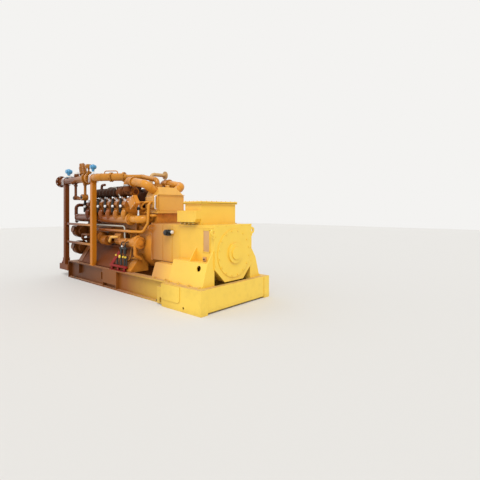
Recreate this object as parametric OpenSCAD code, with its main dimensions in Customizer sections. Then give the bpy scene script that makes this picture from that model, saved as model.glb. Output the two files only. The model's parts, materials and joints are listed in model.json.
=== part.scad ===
// Gas engine generator set: a twelve-cylinder vee engine and a two-bearing generator
// on one welded steel skid, with its gas train carried on posts beside the engine.
// +X runs towards the generator end, +Z up, origin on the floor under the low cross-member.

/* [Skid] */
// Length of the skid
skid_l = 4880; // [4800:10:4950]
// Distance from the skid's generator end to the middle of the low cross-member
origin_d = 2575; // [2500:5:2700]
// Height of the skid's rails
skid_h = 400; // [380:5:420]
// Width over the generator's sills
sill_span = 1750; // [1700:10:1850]
// Length of the generator's sills
sill_l = 985; // [900:5:1000]
// Width over the engine's rails
rail_span = 1550; // [1520:10:1580]
// Width of the rail and sill flanges
flange_w = 150; // [130:5:170]
// Thickness of the rail webs
web_t = 16; // [10:1:24]
// Thickness of the flanges and cap plates
flange_t = 22; // [14:1:30]
// Width of the end beam's flanges
end_beam_w = 100; // [80:5:120]
// Step of the end beam behind the sill ends
end_beam_inset = 12; // [6:1:24]
// Gap between the end beam and the floor
end_beam_gap = 30; // [10:5:60]
// Height of the low cross-member
cross_h = 90; // [70:5:100]
// Length of the low cross-member along the skid
cross_l = 320; // [200:10:400]
// Overhang of the rails' flanges beyond the web
web_set = 65; // [50:1:75]
// Length of the lifting lugs on the rails
lug_l = 185; // [150:5:230]
// Height of the lifting lugs
lug_h = 310; // [250:5:340]
// Distance from the skid's generator end to the box plate on the rails
box_start = 2644; // [2600:2:2700]
// Length of the box plate on the rails
box_l = 556; // [500:2:600]
// Distance from the skid's generator end to the rear short stiffener
stiff_rear = 3267; // [3230:1:3300]
// Distance from the skid's generator end to the front short stiffener
stiff_front = 4320; // [4280:5:4360]
// Radius of the foundation bolt holes
anchor_r = 14; // [10:1:18]
// Distance between foundation bolt holes along the skid
anchor_span = 3300; // [3000:50:3600]

/* [Generator] */
// Height of the shaft centre above the floor
shaft_z = 900; // [880:5:920]
// Distance from the skid's end to the generator's end plate
gen_start = 104; // [60:2:150]
// Width of the end plate
end_plate_w = 950; // [920:5:980]
// Thickness of the end plate
end_plate_t = 22; // [12:1:30]
// Height of the generator's flat top
gen_top = 1390; // [1370:5:1420]
// Height of the end plate's lower edge
gen_bottom = 425; // [422:1:440]
// Size of the lower corner chamfers
gen_chamfer = 240; // [180:5:280]
// Step between the end plate's edge and the housing's side
housing_step = 15; // [5:1:25]
// Distance from the skid's end to the joint of exciter housing and stator
exciter_end = 1010; // [980:5:1060]
// Step between the exciter housing and the stator frame
stator_step = 12; // [4:1:24]
// Distance from the skid's end to the adapter ring
stator_end = 1840; // [1800:5:1860]
// Thickness of the adapter plate
adapter_t = 36; // [20:2:50]
// Radius of the round end cover
cover_r = 413; // [380:1:425]
// Thickness of the round end cover
cover_t = 14; // [8:1:24]
// Radius of the bearing hub
hub_r = 172; // [140:1:190]
// Height of the bearing hub
hub_h = 32; // [20:1:70]
// Radius of the bearing cap
cap_r = 108; // [90:1:130]
// Height of the bearing cap above the hub
cap_h = 20; // [10:1:45]
// Wall of the pedestals
foot_t = 14; // [8:1:20]
// Outer edge of a pedestal at its base, from the centreline
foot_base_y = 732; // [700:1:760]
// Outer edge of a pedestal at its top, from the centreline
foot_top_y = 617; // [590:1:650]
// Height of the pedestals' top
foot_top = 775; // [740:5:800]
// Radius of the hand holes in the pedestals
hand_r = 48; // [35:1:52]
// Outer edge of the stator's foot at its base, from the centreline
skirt_base_y = 690; // [660:5:710]
// Outer edge of the stator's foot at its top, from the centreline
skirt_top_y = 600; // [560:5:620]
// Height of the top of the stator's foot
skirt_top = 665; // [640:5:700]
// Distance from the skid's end to the front end of the stator's foot
skirt_end = 1540; // [1480:10:1600]
// Height of the gussets on the pedestals
gusset_h = 230; // [180:5:260]
// Outer radius of the lifting eyes
eye_r = 62; // [55:1:70]
// Radius of the lifting eyes' holes
eye_hole_r = 27; // [20:1:32]

/* [Terminal box] */
// Distance from the skid's end to the terminal box
tbox_start = 470; // [430:5:500]
// Length of the terminal box
tbox_l = 415; // [380:5:440]
// Width of the terminal box
tbox_w = 872; // [820:4:900]
// Height of the terminal box without its lid
tbox_h = 370; // [340:5:380]
// Thickness of the lid
lid_t = 36; // [20:1:45]
// Overhang of the lid
lid_over = 26; // [10:1:40]
// Length of the cable entry box
entry_l = 490; // [460:5:510]
// Projection of the cable entry box
entry_w = 120; // [90:2:150]
// Height of the cable entry box
entry_h = 200; // [160:5:240]
// Radius of a cable gland
gland_r = 30; // [20:1:34]

/* [Engine] */
// Cylinders in each bank
cylinders = 6; // [5:1:6]
// Distance between cylinders
pitch = 315; // [300:1:320]
// Distance from the skid's end to the rearmost cylinder
first_cyl = 2570; // [2550:5:2600]
// Half of the vee angle
bank_angle = 30; // [28:1:32]
// Distance from the shaft to the bank's deck
deck_r = 690; // [685:1:695]
// Height of a cylinder head above the deck
head_h = 300; // [280:2:310]
// Width of a cylinder head across the bank
head_w = 360; // [350:2:366]
// Length of a cylinder head along the engine
head_l = 190; // [180:2:200]
// Height of a valve cover
cover_h = 120; // [100:2:140]
// Width of a valve cover
cover_w = 300; // [270:2:320]
// Half width of the crankcase at its foot
case_foot_y = 400; // [380:5:420]
// Half width of the crankcase at its shoulder
case_side_y = 440; // [430:2:450]
// Height of the crankcase's shoulder
case_side_z = 1150; // [1120:5:1170]
// Height of the joint of crankcase and base
base_top = 860; // [840:5:880]
// Half width of the engine base on the rails
base_y = 700; // [680:5:710]
// Half width of the sump between the rails
sump_y = 430; // [400:5:450]
// Height of the sump's floor
sump_z = 130; // [120:5:150]
// Length of the flywheel housing
bell_l = 534; // [520:2:540]
// Radius of the flywheel housing
bell_r = 465; // [440:5:470]
// Length of the front gear housing
gear_l = 330; // [300:5:350]
// Radius of the vibration damper's guard
damper_r = 300; // [280:5:310]
// Distance from the centreline to the front pumps
pump_y = 520; // [500:5:520]
// Height of the upper front pumps
pump_z = 1130; // [1110:5:1160]
// Height of the lower front pumps
low_pump_z = 720; // [700:5:740]
// Radius of the front pumps
pump_r = 163; // [150:1:165]
// Distance from the skid's generator end to the front pumps
pump_d = 4700; // [4690:5:4720]
// Distance from the centreline to the castings at the crankcase's side
side_y = 560; // [550:2:566]
// Radius of the round cover at the crankcase's side
side_cover_r = 118; // [100:2:122]
// Radius of the starter's drum
drum_r = 120; // [100:2:124]

/* [Intake and exhaust] */
// Distance from the centreline to the intake manifolds
manifold_y = 554; // [550:1:558]
// Height of the intake manifolds
manifold_z = 1455; // [1450:1:1460]
// Outer radius of the intake manifolds
manifold_r = 95; // [90:1:96]
// Outer radius of the pipe from an intake manifold to the cooler's seat
link_r = 80; // [70:1:85]
// Distance from the skid's generator end to the intake manifolds' rear ends
manifold_start = 2450; // [2440:1:2458]
// Distance from the skid's generator end to the intake manifolds' front ends
manifold_end = 4800; // [4760:5:4810]
// Distance from the skid's generator end to the bend under the charge cooler
manifold_turn = 2080; // [2060:5:2120]
// Outer radius of the intake elbows
port_r = 62; // [55:1:63]
// Outer radius of the balance pipe
balance_r = 40; // [34:1:42]
// Height of the balance pipe's crossing
balance_z = 1765; // [1750:5:1780]
// Distance from the skid's generator end to the balance pipe
balance_d = 4940; // [4925:1:4950]
// Height of the exhaust manifold
exhaust_z = 1900; // [1890:5:1910]
// Outer radius of the exhaust manifold
exhaust_r = 140; // [120:5:145]
// Distance from the skid's generator end to the exhaust outlet
exhaust_d = 3200; // [3190:5:3220]
// Height of the exhaust outlet's flange
exhaust_top = 2250; // [2230:5:2280]
// Distance from the centreline to the turbochargers
turbo_y = 330; // [325:1:335]
// Height of the turbochargers
turbo_z = 2030; // [2020:1:2040]
// Distance from the skid's generator end to the turbines
turbine_d = 3145; // [3140:1:3150]
// Distance from the skid's generator end to the compressors
compressor_d = 2735; // [2730:1:2740]
// Height of the coolant outlet pipe
coolant_z = 2425; // [2422:1:2440]
// Outer radius of the coolant outlet pipe
coolant_r = 40; // [34:1:44]
// Distance from the skid's generator end to the coolant outlet pipe
coolant_d = 2590; // [2570:5:2610]
// Distance from the centreline to the coolant outlet's flange
coolant_y = 400; // [390:5:410]

/* [Charge air] */
// Length of the charge cooler along the engine
cooler_l = 400; // [380:5:405]
// Width of the charge cooler
cooler_w = 640; // [600:5:660]
// Height of the charge cooler's lower flange
cooler_z = 1600; // [1590:5:1610]
// Height of the cooler's upright sides
cooler_side = 350; // [330:5:370]
// Height of the cooler's hood
hood_h = 160; // [140:5:180]
// Width of the flat top of the hood
hood_top_w = 430; // [400:5:440]
// Outer radius of the charge pipes
charge_r = 85; // [80:1:86]
// Distance from the centreline to the charge pipes
charge_y = 456; // [450:1:460]
// Height of the compressors' outlets
charge_start = 2146; // [2140:1:2150]
// Bend radius of the charge pipes
charge_bend = 97; // [96:1:100]
// Distance from the skid's generator end to the charge pipes' lower ends
charge_end_d = 2050; // [2040:5:2080]

/* [Gas train] */
// Distance from the centreline to the gas pipe
gas_y = 725; // [722:1:730]
// Height of the gas pipe's axis
gas_z = 2360; // [2350:5:2370]
// Outer radius of the gas pipe
gas_r = 84; // [80:1:90]
// Distance from the skid's generator end to the gas inlet flange
gas_end = 5400; // [5380:10:5600]
// Outer radius of the gas inlet flange
gas_flange_r = 142; // [140:1:148]
// Pitch circle radius of the gas inlet flange's bolts
gas_bolt_r = 120; // [118:1:122]
// Outer radius of the gas pipe after its reducer
feed_r = 50; // [44:1:54]
// Radius of the gas mixer
mixer_r = 105; // [90:1:110]
// Height of the gas mixer
mixer_h = 50; // [40:1:60]
// Outer radius of the bypass pipe
bypass_r = 30; // [25:1:36]
// Height of the bypass pipe's lower run
bypass_z = 1912; // [1900:2:1930]
// Side of the square posts
post_w = 100; // [90:5:110]
// Distance from the skid's generator end to the rear post
post_rear_d = 3702; // [3690:2:3710]
// Distance from the skid's generator end to the front post
post_front_d = 5100; // [5080:5:5100]
// Height of the front post's foot
post_foot_z = 450; // [440:5:460]
// Distance from the skid's generator end to the front end of the bracket
bracket_end = 5350; // [5300:10:5370]

/* [Hidden] */
$fn = 48;
yellow = "#f2b83a";
ochre = "#c98a2a";
bead_l = 12;
bead_h = 3;
bead_gap = 2;
rail_in = rail_span / 2 - flange_w;
sill_in = sill_span / 2 - flange_w;
housing_y = end_plate_w / 2 - housing_step;
bell_start = stator_end + adapter_t;
case_start = bell_start + bell_l;
case_end = first_cyl + (cylinders - 1) * pitch + 160;
gear_end = case_end + gear_l;
tbox_z = gen_top - 5;
seat_y = 330;
deck_w = 110;
head_step = 160;
mixer_d = 2110;
mixer_y = -150;
mixer_z = cooler_z + cooler_side + hood_h;
charge_rise = 1.26 * charge_bend;
run_top = 2080;
run_r = 110;
gas_bend = 190;
feed_bend = 85;
slant_start = 3450;
slant_end = 2640;
mixer_pipe_z = 2262;
coupling_at = 289;
coupling_l = 46;
reducer_at = 582;
reducer_l = 70;
regulator_d = 4131;
regulator_tilt = unit([-0.35, 0, 1]);
boss_r = 60;
boss_h = 30;
bypass_d = [4096, 4582];

// X of a point that lies d from the generator end of the skid
function at(d) = origin_d - d;
function unit(v) = v / norm(v);
function turn(a, b) = acos(max(-1, min(1, a * b)));
// Point of a bank: r along the bank from the shaft, w across it, towards the outside
function bank(r, w) = [r * sin(bank_angle) + w * cos(bank_angle),
    shaft_z + r * cos(bank_angle) - w * sin(bank_angle)];

// Extrude a Y-Z outline along X between two distances from the generator end
module span(d0, d1) {
    translate([at(d1), 0, 0]) rotate([90, 0, 90]) linear_extrude(d1 - d0) children();
}

// Put the Z axis of the children along a direction from a point
module aim(p, v) {
    translate(p) rotate([0, acos(v[2] / norm(v)), atan2(v[1], v[0])]) children();
}

module rod(p, q, r) {
    aim(p, q - p) cylinder(h = norm(q - p), r = r);
}

// Quarter or part ring that joins direction a to direction b at corner c
module elbow(c, a, b, bend, r) {
    n = unit(b - a * (a * b));
    o = c - a * bend * tan(turn(a, b) / 2) + n * bend;
    z = cross(-n, a);
    multmatrix([[-n[0], a[0], z[0], o[0]], [-n[1], a[1], z[1], o[1]], [-n[2], a[2], z[2], o[2]],
        [0, 0, 0, 1]])
        rotate_extrude(angle = turn(a, b)) translate([bend, 0]) circle(r = r);
}

// Round pipe through corner points, with bends of one radius and a weld bead at each end of a bend
module pipe(pts, r, bend) {
    last = len(pts) - 1;
    for (i = [0 : last - 1]) {
        a = unit(pts[i + 1] - pts[i]);
        cut0 = i == 0 ? 0 : bend * tan(turn(unit(pts[i] - pts[i - 1]), a) / 2);
        cut1 = i == last - 1 ? 0 : bend * tan(turn(a, unit(pts[i + 2] - pts[i + 1])) / 2);
        start = pts[i] + a * cut0;
        end = pts[i + 1] - a * cut1;
        rod(start + a * (i == 0 ? 0 : bead_gap), end - a * (i == last - 1 ? 0 : bead_gap), r);
        if (i > 0) bead(start, a, r);
        if (i < last - 1) {
            bead(end, a, r);
            elbow(pts[i + 1], a, unit(pts[i + 2] - pts[i + 1]), bend, r);
        }
    }
}

// Weld bead round a pipe
module bead(p, v, r) {
    aim(p - v * bead_l / 2, v) cylinder(h = bead_l, r = r + bead_h);
}

// Disc with bolt holes, its back face at p and its axis along v
module flange(p, v, r, t, bolt_r = 0, bolts = 8, hole_r = 11) {
    aim(p, v) difference() {
        cylinder(h = t, r = r);
        if (bolt_r > 0) for (i = [0 : bolts - 1])
            rotate([0, 0, (i + 0.5) * 360 / bolts]) translate([bolt_r, 0, -1])
                cylinder(h = t + 2, r = hole_r);
    }
}

module near() {
    mirror([0, 1, 0]) children();
}

// Skid

// Beam outline from the inner plane y0, with the web set back from the outer edge
module beam_outline(y0, set) {
    difference() {
        translate([y0, 0]) square([flange_w, skid_h]);
        translate([y0 - 1, flange_t]) square([flange_w - web_t - set + 1, skid_h - 2 * flange_t]);
        if (set > 0) translate([y0 + flange_w - set, flange_t]) square([set + 1, skid_h - 2 * flange_t]);
    }
}

module rail() {
    web_y = rail_span / 2 - web_set;
    color(yellow) difference() {
        union() {
            span(sill_l, skid_l) beam_outline(rail_in, web_set);
            for (d = [sill_l, sill_l + 1500, sill_l + 2300])
                span(d, d + 30) translate([rail_in, 1]) square([web_y - rail_in, skid_h - 2]);
            span(skid_l - 20, skid_l) translate([rail_in, 1]) square([flange_w - 1, skid_h - 2]);
            // Outer stiffeners, and a plate with two ribs that boxes in a part of the rail
            for (d = [box_start, box_start + box_l - 14]) span(d, d + 14)
                translate([web_y - 1, flange_t - 1]) square([web_set, skid_h - 2 * flange_t + 2]);
            span(box_start, box_start + box_l)
                translate([rail_span / 2 - 13, 100]) square([12, skid_h - flange_t - 99]);
            span(stiff_rear, stiff_rear + 14) translate([web_y - 1, 146]) square([web_set - 4, 158]);
            span(stiff_front, stiff_front + 14)
                translate([web_y - 1, 155]) square([web_set - 4, skid_h - flange_t - 154]);
            // Lifting lug beside the sill's end
            span(sill_l, sill_l + lug_l) translate([web_y - 1, flange_t - 1])
                square([web_set + 60, lug_h - flange_t]);
        }
        for (x = [-1, 1])
            translate([at((sill_l + skid_l) / 2) + x * anchor_span / 2, rail_span / 2 - web_set / 2, -1])
                cylinder(h = flange_t + 2, r = anchor_r);
        // Slot of the lifting lug
        for (z = [60, 110]) translate([at(sill_l + 90), web_y + 40, z]) rotate([-90, 0, 0])
            cylinder(h = 120, r = 24);
        translate([at(sill_l + 90) - 24, web_y + 40, 60]) cube([48, 120, 50]);
    }
}

module sill() {
    color(yellow) difference() {
        union() {
            span(0, sill_l) beam_outline(sill_in, 0);
            for (d = [0, 470, sill_l - flange_w])
                span(d, d + 22) translate([sill_in, 1]) square([flange_w - 1, skid_h - 2]);
            // Shelf that carries the pedestal
            span(end_beam_inset + end_beam_w, sill_l - flange_w)
                translate([housing_y, skid_h - flange_t]) square([sill_in - housing_y + 1, flange_t]);
            for (d = [300, 620])
                span(d, d + 12)
                    polygon([[sill_in, skid_h - 1], [sill_in, 120], [housing_y + 30, skid_h - 1]]);
            // Doubler plate with round lower corners
            translate([at(sill_l), sill_span / 2 - 1, 130]) rotate([90, 0, 0]) mirror([0, 0, 1])
                linear_extrude(15) union() {
                    translate([60, 0]) square([365, 260]);
                    translate([0, 60]) square([485, 200]);
                    for (x = [60, 425]) translate([x, 60]) circle(r = 60);
                }
        }
        // Lifting slot at the foot of the web
        translate([at(417), sill_span / 2, flange_t + 43]) rotate([90, 0, 0])
            cylinder(h = 60, r = 22, center = true);
    }
}

module cross_beam(d0, w, half, z0) {
    color(yellow) translate([at(d0 + w), -half, z0]) difference() {
        cube([w, 2 * half, skid_h - z0]);
        translate([-1, -1, flange_t]) cube([w - web_t + 1, 2 * half + 2, skid_h - z0 - 2 * flange_t]);
    }
}

module low_cross_member() {
    color(yellow) translate([-cross_l / 2, -rail_in, 0]) difference() {
        cube([cross_l, 2 * rail_in, cross_h]);
        translate([web_t, -1, flange_t]) cube([cross_l - 2 * web_t, 2 * rail_in + 2, cross_h]);
    }
}

// Generator

// Rectangle with chamfered lower corners, in the Y-Z plane
module gen_outline(half, top, bottom, chamfer) {
    polygon([[-half + chamfer, bottom], [half - chamfer, bottom], [half, bottom + chamfer], [half, top],
        [-half, top], [-half, bottom + chamfer]]);
}

module lifting_eye(d, y, z) {
    translate([at(d), y, z]) rotate([0, 90, 0]) difference() {
        union() {
            cylinder(h = end_plate_t, r = eye_r);
            translate([0, y > 0 ? -eye_r : 0, 0]) cube([eye_r + 40, eye_r, end_plate_t]);
        }
        translate([0, 0, -1]) cylinder(h = end_plate_t + 2, r = eye_hole_r);
    }
}

module generator_end_plate() {
    color(yellow) {
        span(gen_start, gen_start + end_plate_t)
            gen_outline(end_plate_w / 2, gen_top, gen_bottom, gen_chamfer);
        for (y = [-1, 1]) lifting_eye(gen_start + end_plate_t, y * (end_plate_w / 2 + 20), gen_top - 120);
    }
}

module generator_end_cover() {
    color(yellow) translate([at(gen_start), 0, shaft_z]) rotate([0, 90, 0]) {
        cylinder(h = cover_t, r = cover_r);
        cylinder(h = cover_t + hub_h, r = hub_r);
        cylinder(h = cover_t + hub_h + cap_h, r = cap_r);
    }
}

module exciter_housing() {
    color(yellow) {
        span(gen_start + end_plate_t, exciter_end)
            gen_outline(housing_y, gen_top - 5, gen_bottom + 5, gen_chamfer);
        // Side covers
        for (y = [-1, 1]) translate([at(390), y * housing_y - 6, 930]) cube([160, 12, 376]);
        // Gussets on the pedestals
        for (y = [-1, 1], d = [gen_start + end_plate_t, 560]) span(d, d + 15)
            polygon([[y * (housing_y - 1), foot_top], [y * (foot_top_y - 2), foot_top],
                [y * (housing_y - 1), foot_top + gusset_h]]);
    }
}

module stator_frame() {
    color(yellow) span(exciter_end, stator_end)
        gen_outline(housing_y - stator_step, gen_top - 5 - stator_step, gen_bottom + 5 + stator_step,
            gen_chamfer);
}

module adapter_plate() {
    color(yellow) {
        span(stator_end, bell_start) gen_outline(housing_y, gen_top, gen_bottom, gen_chamfer);
        for (y = [-1, 1]) lifting_eye(bell_start, y * (housing_y + 20), gen_top - 100);
    }
}

module pedestal() {
    color(yellow) {
        difference() {
            span(gen_start + end_plate_t, sill_l) polygon([[housing_y, skid_h], [foot_base_y, skid_h],
                [foot_top_y, foot_top], [housing_y, foot_top]]);
            span(gen_start + end_plate_t + foot_t, sill_l - foot_t)
                polygon([[housing_y + foot_t, skid_h - 1], [foot_base_y - 1.1 * foot_t, skid_h - 1],
                    [foot_top_y - 1.1 * foot_t, foot_top - foot_t], [housing_y + foot_t, foot_top - foot_t]]);
            translate([at(304), (foot_base_y + foot_top_y) / 2 - 90, 682])
                rotate([-90, 0, 0]) cylinder(h = 180, r = hand_r);
        }
        // Foot of the stator on the rail
        span(sill_l, skirt_end) polygon([[housing_y - stator_step, skid_h], [skirt_base_y, skid_h],
            [skirt_top_y, skirt_top], [housing_y - stator_step, skirt_top]]);
    }
}

module terminal_box() {
    color(yellow) translate([at(tbox_start + tbox_l), -tbox_w / 2, tbox_z]) cube([tbox_l, tbox_w, tbox_h]);
}

module terminal_box_lid() {
    color(yellow) translate([at(tbox_start + tbox_l + lid_over), -tbox_w / 2 - lid_over, tbox_z + tbox_h])
        cube([tbox_l + 2 * lid_over, tbox_w + 2 * lid_over, lid_t]);
}

module cable_entry_box() {
    bottom = gen_top + 40;
    color(yellow) {
        translate([0, -tbox_w / 2, 0]) rotate([90, 0, 0]) linear_extrude(entry_w)
            polygon([[at(tbox_start + entry_l), bottom], [at(tbox_start + 40), bottom],
                [at(tbox_start), bottom + 60], [at(tbox_start), bottom + entry_h],
                [at(tbox_start + entry_l), bottom + entry_h]]);
        for (i = [0 : 3])
            translate([at(tbox_start + 110 + i * 100), -tbox_w / 2 - entry_w / 2 - 15, bottom - 25])
                cylinder(h = 26, r = gland_r);
    }
}

// Engine

module crankcase() {
    o = bank(deck_r, deck_w);
    i = bank(deck_r, -head_w / 2);
    color(ochre) span(case_start, case_end) polygon([[-case_foot_y, base_top], [case_foot_y, base_top],
        [case_side_y, case_side_z], o, i, [i[0] - 60, i[1] - 110], [60 - i[0], i[1] - 110], [-i[0], i[1]],
        [-o[0], o[1]], [-case_side_y, case_side_z]]);
}

module engine_base() {
    color(ochre) difference() {
        span(case_start, case_end) polygon([[-sump_y, sump_z + 60], [-sump_y + 60, sump_z],
            [sump_y - 60, sump_z], [sump_y, sump_z + 60], [sump_y, skid_h], [base_y, skid_h],
            [base_y, skid_h + 30], [case_foot_y + 30, base_top - 40], [case_foot_y + 30, base_top],
            [-case_foot_y - 30, base_top], [-case_foot_y - 30, base_top - 40], [-base_y, skid_h + 30],
            [-base_y, skid_h], [-sump_y, skid_h]]);
    }
}

module flywheel_housing() {
    color(ochre) {
        translate([at(case_start), 0, shaft_z]) rotate([0, 90, 0]) cylinder(h = bell_l, r = bell_r);
        // Feet on the rails
        for (y = [-1, 1]) span(case_start - 200, case_start) polygon([[y * 300, skid_h],
            [y * base_y, skid_h], [y * base_y, skid_h + 40], [y * 440, 760], [y * 300, 760]]);
        // Tapered seat of the charge cooler
        span(bell_start, case_start) polygon([[-400, shaft_z + 200], [400, shaft_z + 200],
            [400, shaft_z + 400], [seat_y, shaft_z + 480], [seat_y, cooler_z], [-seat_y, cooler_z],
            [-seat_y, shaft_z + 480], [-400, shaft_z + 400]]);
    }
}

module gear_housing() {
    color(ochre) {
        span(case_end, gear_end) polygon([[-300, sump_z + 300], [300, sump_z + 300], [430, base_top],
            [430, 1250], [300, 1560], [-300, 1560], [-430, 1250], [-430, base_top]]);
        translate([at(gear_end), 0, shaft_z]) rotate([0, -90, 0]) {
            cylinder(h = 170, r = damper_r);
            cylinder(h = 200, r = 120);
        }
        for (y = [-1, 1]) {
            // Feet on the rails
            span(case_end, case_end + 180) polygon([[y * 290, skid_h],
                [y * base_y, skid_h], [y * base_y, skid_h + 40], [y * 430, base_top], [y * 290, base_top]]);
            // Pumps driven from the gear housing
            for (z = [pump_z, low_pump_z]) {
                translate([at(gear_end - 60), y * pump_y, z]) rotate([0, -90, 0]) {
                    cylinder(h = pump_d - gear_end + 61, r = 110);
                    cylinder(h = pump_d - gear_end + 290, r = 62);
                }
                translate([at(pump_d), y * pump_y, z]) rotate([0, -90, 0]) cylinder(h = 190, r = pump_r);
                span(gear_end - 60, gear_end + 20) polygon([[y * 280, z - 85], [y * pump_y, z - 85],
                    [y * pump_y, z + 85], [y * 280, z + 85]]);
            }
            // Coolant elbow from the pumps into the crankcase
            pipe([[at(case_end + 190), y * 400, 930], [at(case_end + 190), y * 600, 930],
                [at(case_end + 190), y * 600, 1055], [at(case_end - 130), y * 600, 1055],
                [at(case_end - 130), y * 400, 1055]], 32, 46);
        }
    }
}

// Starter, oil filter head and covers on the near side of the crankcase
module side_castings() {
    in = case_side_y - 30;
    color(ochre) {
        rod([at(3620), -side_y, 1035], [at(3545), -side_y, 1035], side_cover_r);
        rod([at(3560), -side_y + 10, 970], [at(3330), -side_y + 10, 970], 108);
        translate([at(3540), -side_y, 925]) cube([190, side_y - in, 90]);
        pipe([[at(3318), -in, 930], [at(3318), -side_y, 930], [at(3318), -side_y, 1060],
            [at(2960), -side_y, 1060]], 35, 50);
        span(2750, 2980) polygon([[-in, 920], [-side_y - 20, 920], [-side_y - 60, 970],
            [-side_y - 60, 1110], [-side_y - 20, 1160], [-in, 1160]]);
        rod([at(2751), -side_y, 970], [at(2290), -side_y, 970], 88);
        rod([at(2520), -side_y, 970], [at(2520), -side_y - 85, 1030], 40);
        rod([at(2300), -side_y + 10, 983], [at(2100), -side_y + 10, 983], drum_r);
        rod([at(2200), -side_y + 10, 983], [at(2200), -380, 983], 60);
    }
}

module cylinder_heads() {
    top = deck_r + head_h;
    color(ochre) for (k = [0 : cylinders - 1])
        span(first_cyl + k * pitch - head_l / 2, first_cyl + k * pitch + head_l / 2)
            polygon([bank(deck_r, -head_w / 2), bank(deck_r, deck_w), bank(deck_r + head_step, deck_w),
                bank(deck_r + head_step + 30, head_w / 2), bank(top, head_w / 2), bank(top, -head_w / 2)]);
}

module valve_covers() {
    color(ochre) for (k = [0 : cylinders - 1]) {
        d = first_cyl + k * pitch;
        base = deck_r + head_h;
        span(d - head_l / 2 + 5, d + head_l / 2 - 5) polygon([bank(base, -cover_w / 2 - 15),
            bank(base, cover_w / 2 + 15), bank(base + 22, cover_w / 2 + 15),
            bank(base + 22, -cover_w / 2 - 15)]);
        span(d - head_l / 2 + 20, d + head_l / 2 - 20) polygon([bank(base, -cover_w / 2),
            bank(base, cover_w / 2), bank(base + cover_h - 40, cover_w / 2),
            bank(base + cover_h, cover_w / 2 - 40), bank(base + cover_h, 40 - cover_w / 2),
            bank(base + cover_h - 40, -cover_w / 2)]);
    }
}

module intake_manifold() {
    port = deck_r + head_h - port_r - 2;
    out = head_w / 2 + 55;
    color(ochre) {
        rod([at(manifold_end), manifold_y, manifold_z], [at(manifold_start), manifold_y, manifold_z],
            manifold_r);
        pipe([[at(manifold_start + 5), manifold_y, manifold_z], [at(manifold_turn), manifold_y, manifold_z],
            [at(manifold_turn), seat_y, manifold_z]], link_r, 130);
        flange([at(manifold_start + 22), manifold_y, manifold_z], [1, 0, 0], 120, 44);
        flange([at(3775), manifold_y, manifold_z], [1, 0, 0], 115, 40);
        for (k = [0 : cylinders - 1])
            pipe([for (p = [bank(port, head_w / 2 - 40), bank(port, out), bank(deck_r + 60, out)])
                [at(first_cyl + k * pitch), p[0], p[1]]], port_r, 75);
    }
}

module balance_pipe() {
    color(ochre) {
        pipe([[at(manifold_end + 24), -manifold_y, manifold_z], [at(balance_d), -manifold_y, manifold_z],
            [at(balance_d), -manifold_y, balance_z], [at(balance_d), manifold_y, balance_z],
            [at(balance_d), manifold_y, manifold_z], [at(manifold_end + 24), manifold_y, manifold_z]],
            balance_r, 88);
        for (y = [-1, 1]) {
            flange([at(manifold_end), y * manifold_y, manifold_z], [-1, 0, 0], 90, 26);
            rod([at(balance_d - 30), y * manifold_y, manifold_z],
                [at(balance_d - 30), y * manifold_y, manifold_z - 95], 36);
        }
    }
}

module exhaust_manifold() {
    h = bank(deck_r + head_h / 2, -head_w / 2);
    meet = h[1] + h[0] * tan(bank_angle);
    side = unit([0, turbo_y, turbo_z - exhaust_z]);
    color("#6b4a2a") {
        rod([at(2780), 0, exhaust_z], [at(case_end), 0, exhaust_z], exhaust_r);
        for (k = [1 : cylinders - 1], y = [-1, 1]) {
            x = at(first_cyl + k * pitch);
            rod([x, y * h[0], h[1]], [x, 0, meet], 50);
        }
        // Lagged runs above the heads
        for (y = [-1, 1]) {
            rod([at(turbine_d + 70), y * turbo_y, turbo_z], [at(4240), y * turbo_y, turbo_z], run_r);
            rod([at(4130), y * turbo_y, turbo_z], [at(4130), 0, turbo_z], 75);
        }
        rod([at(exhaust_d), 0, run_top], [at(4250), 0, run_top], run_r + 20);
        // Turbine feeds
        for (y = [-1, 1])
            rod([at(turbine_d), 0, exhaust_z],
                [at(turbine_d), y * side[1] * 175, exhaust_z + side[2] * 175], 50);
        rod([at(exhaust_d), 0, exhaust_z], [at(exhaust_d), 0, exhaust_top], 160);
        flange([at(exhaust_d), 0, exhaust_top - 2], [0, 0, 1], 222, 26, 200, 12);
    }
}

module turbocharger() {
    side = unit([0, turbo_y, turbo_z - exhaust_z]);
    color("#8a5f33") {
        rod([at(turbine_d + 75), turbo_y, turbo_z], [at(turbine_d - 75), turbo_y, turbo_z], 120);
        rod([at(turbine_d), turbo_y, turbo_z], [at(compressor_d), turbo_y, turbo_z], 70);
        rod([at(compressor_d + 60), turbo_y, turbo_z], [at(compressor_d - 60), turbo_y, turbo_z], 115);
        rod([at(compressor_d - 50), turbo_y, turbo_z], [at(compressor_d - 115), turbo_y, turbo_z], 75);
        // Compressor outlet and turbine inlet
        rod([at(compressor_d), charge_y, turbo_z], [at(compressor_d), charge_y, charge_start], charge_r);
        rod([at(turbine_d), turbo_y, turbo_z],
            [at(turbine_d), side[1] * 175, exhaust_z + side[2] * 175], 50);
    }
}

module charge_pipe() {
    slope = unit([hood_h, (cooler_w - hood_top_w) / 2]);
    seat = [(cooler_w + hood_top_w) / 4, cooler_z + cooler_side + hood_h / 2];
    run = [at(compressor_d), charge_y, charge_start + charge_rise];
    drop = [at(charge_end_d), charge_y, seat[1] + (charge_y - seat[0]) * slope[1] / slope[0]];
    color(ochre) {
        pipe([[at(compressor_d), charge_y, charge_start], run, drop,
            [at(charge_end_d), seat[0], seat[1]]], charge_r, charge_bend);
        flange(run + unit(drop - run) * 225, unit(drop - run), 106, 30);
    }
}

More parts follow.
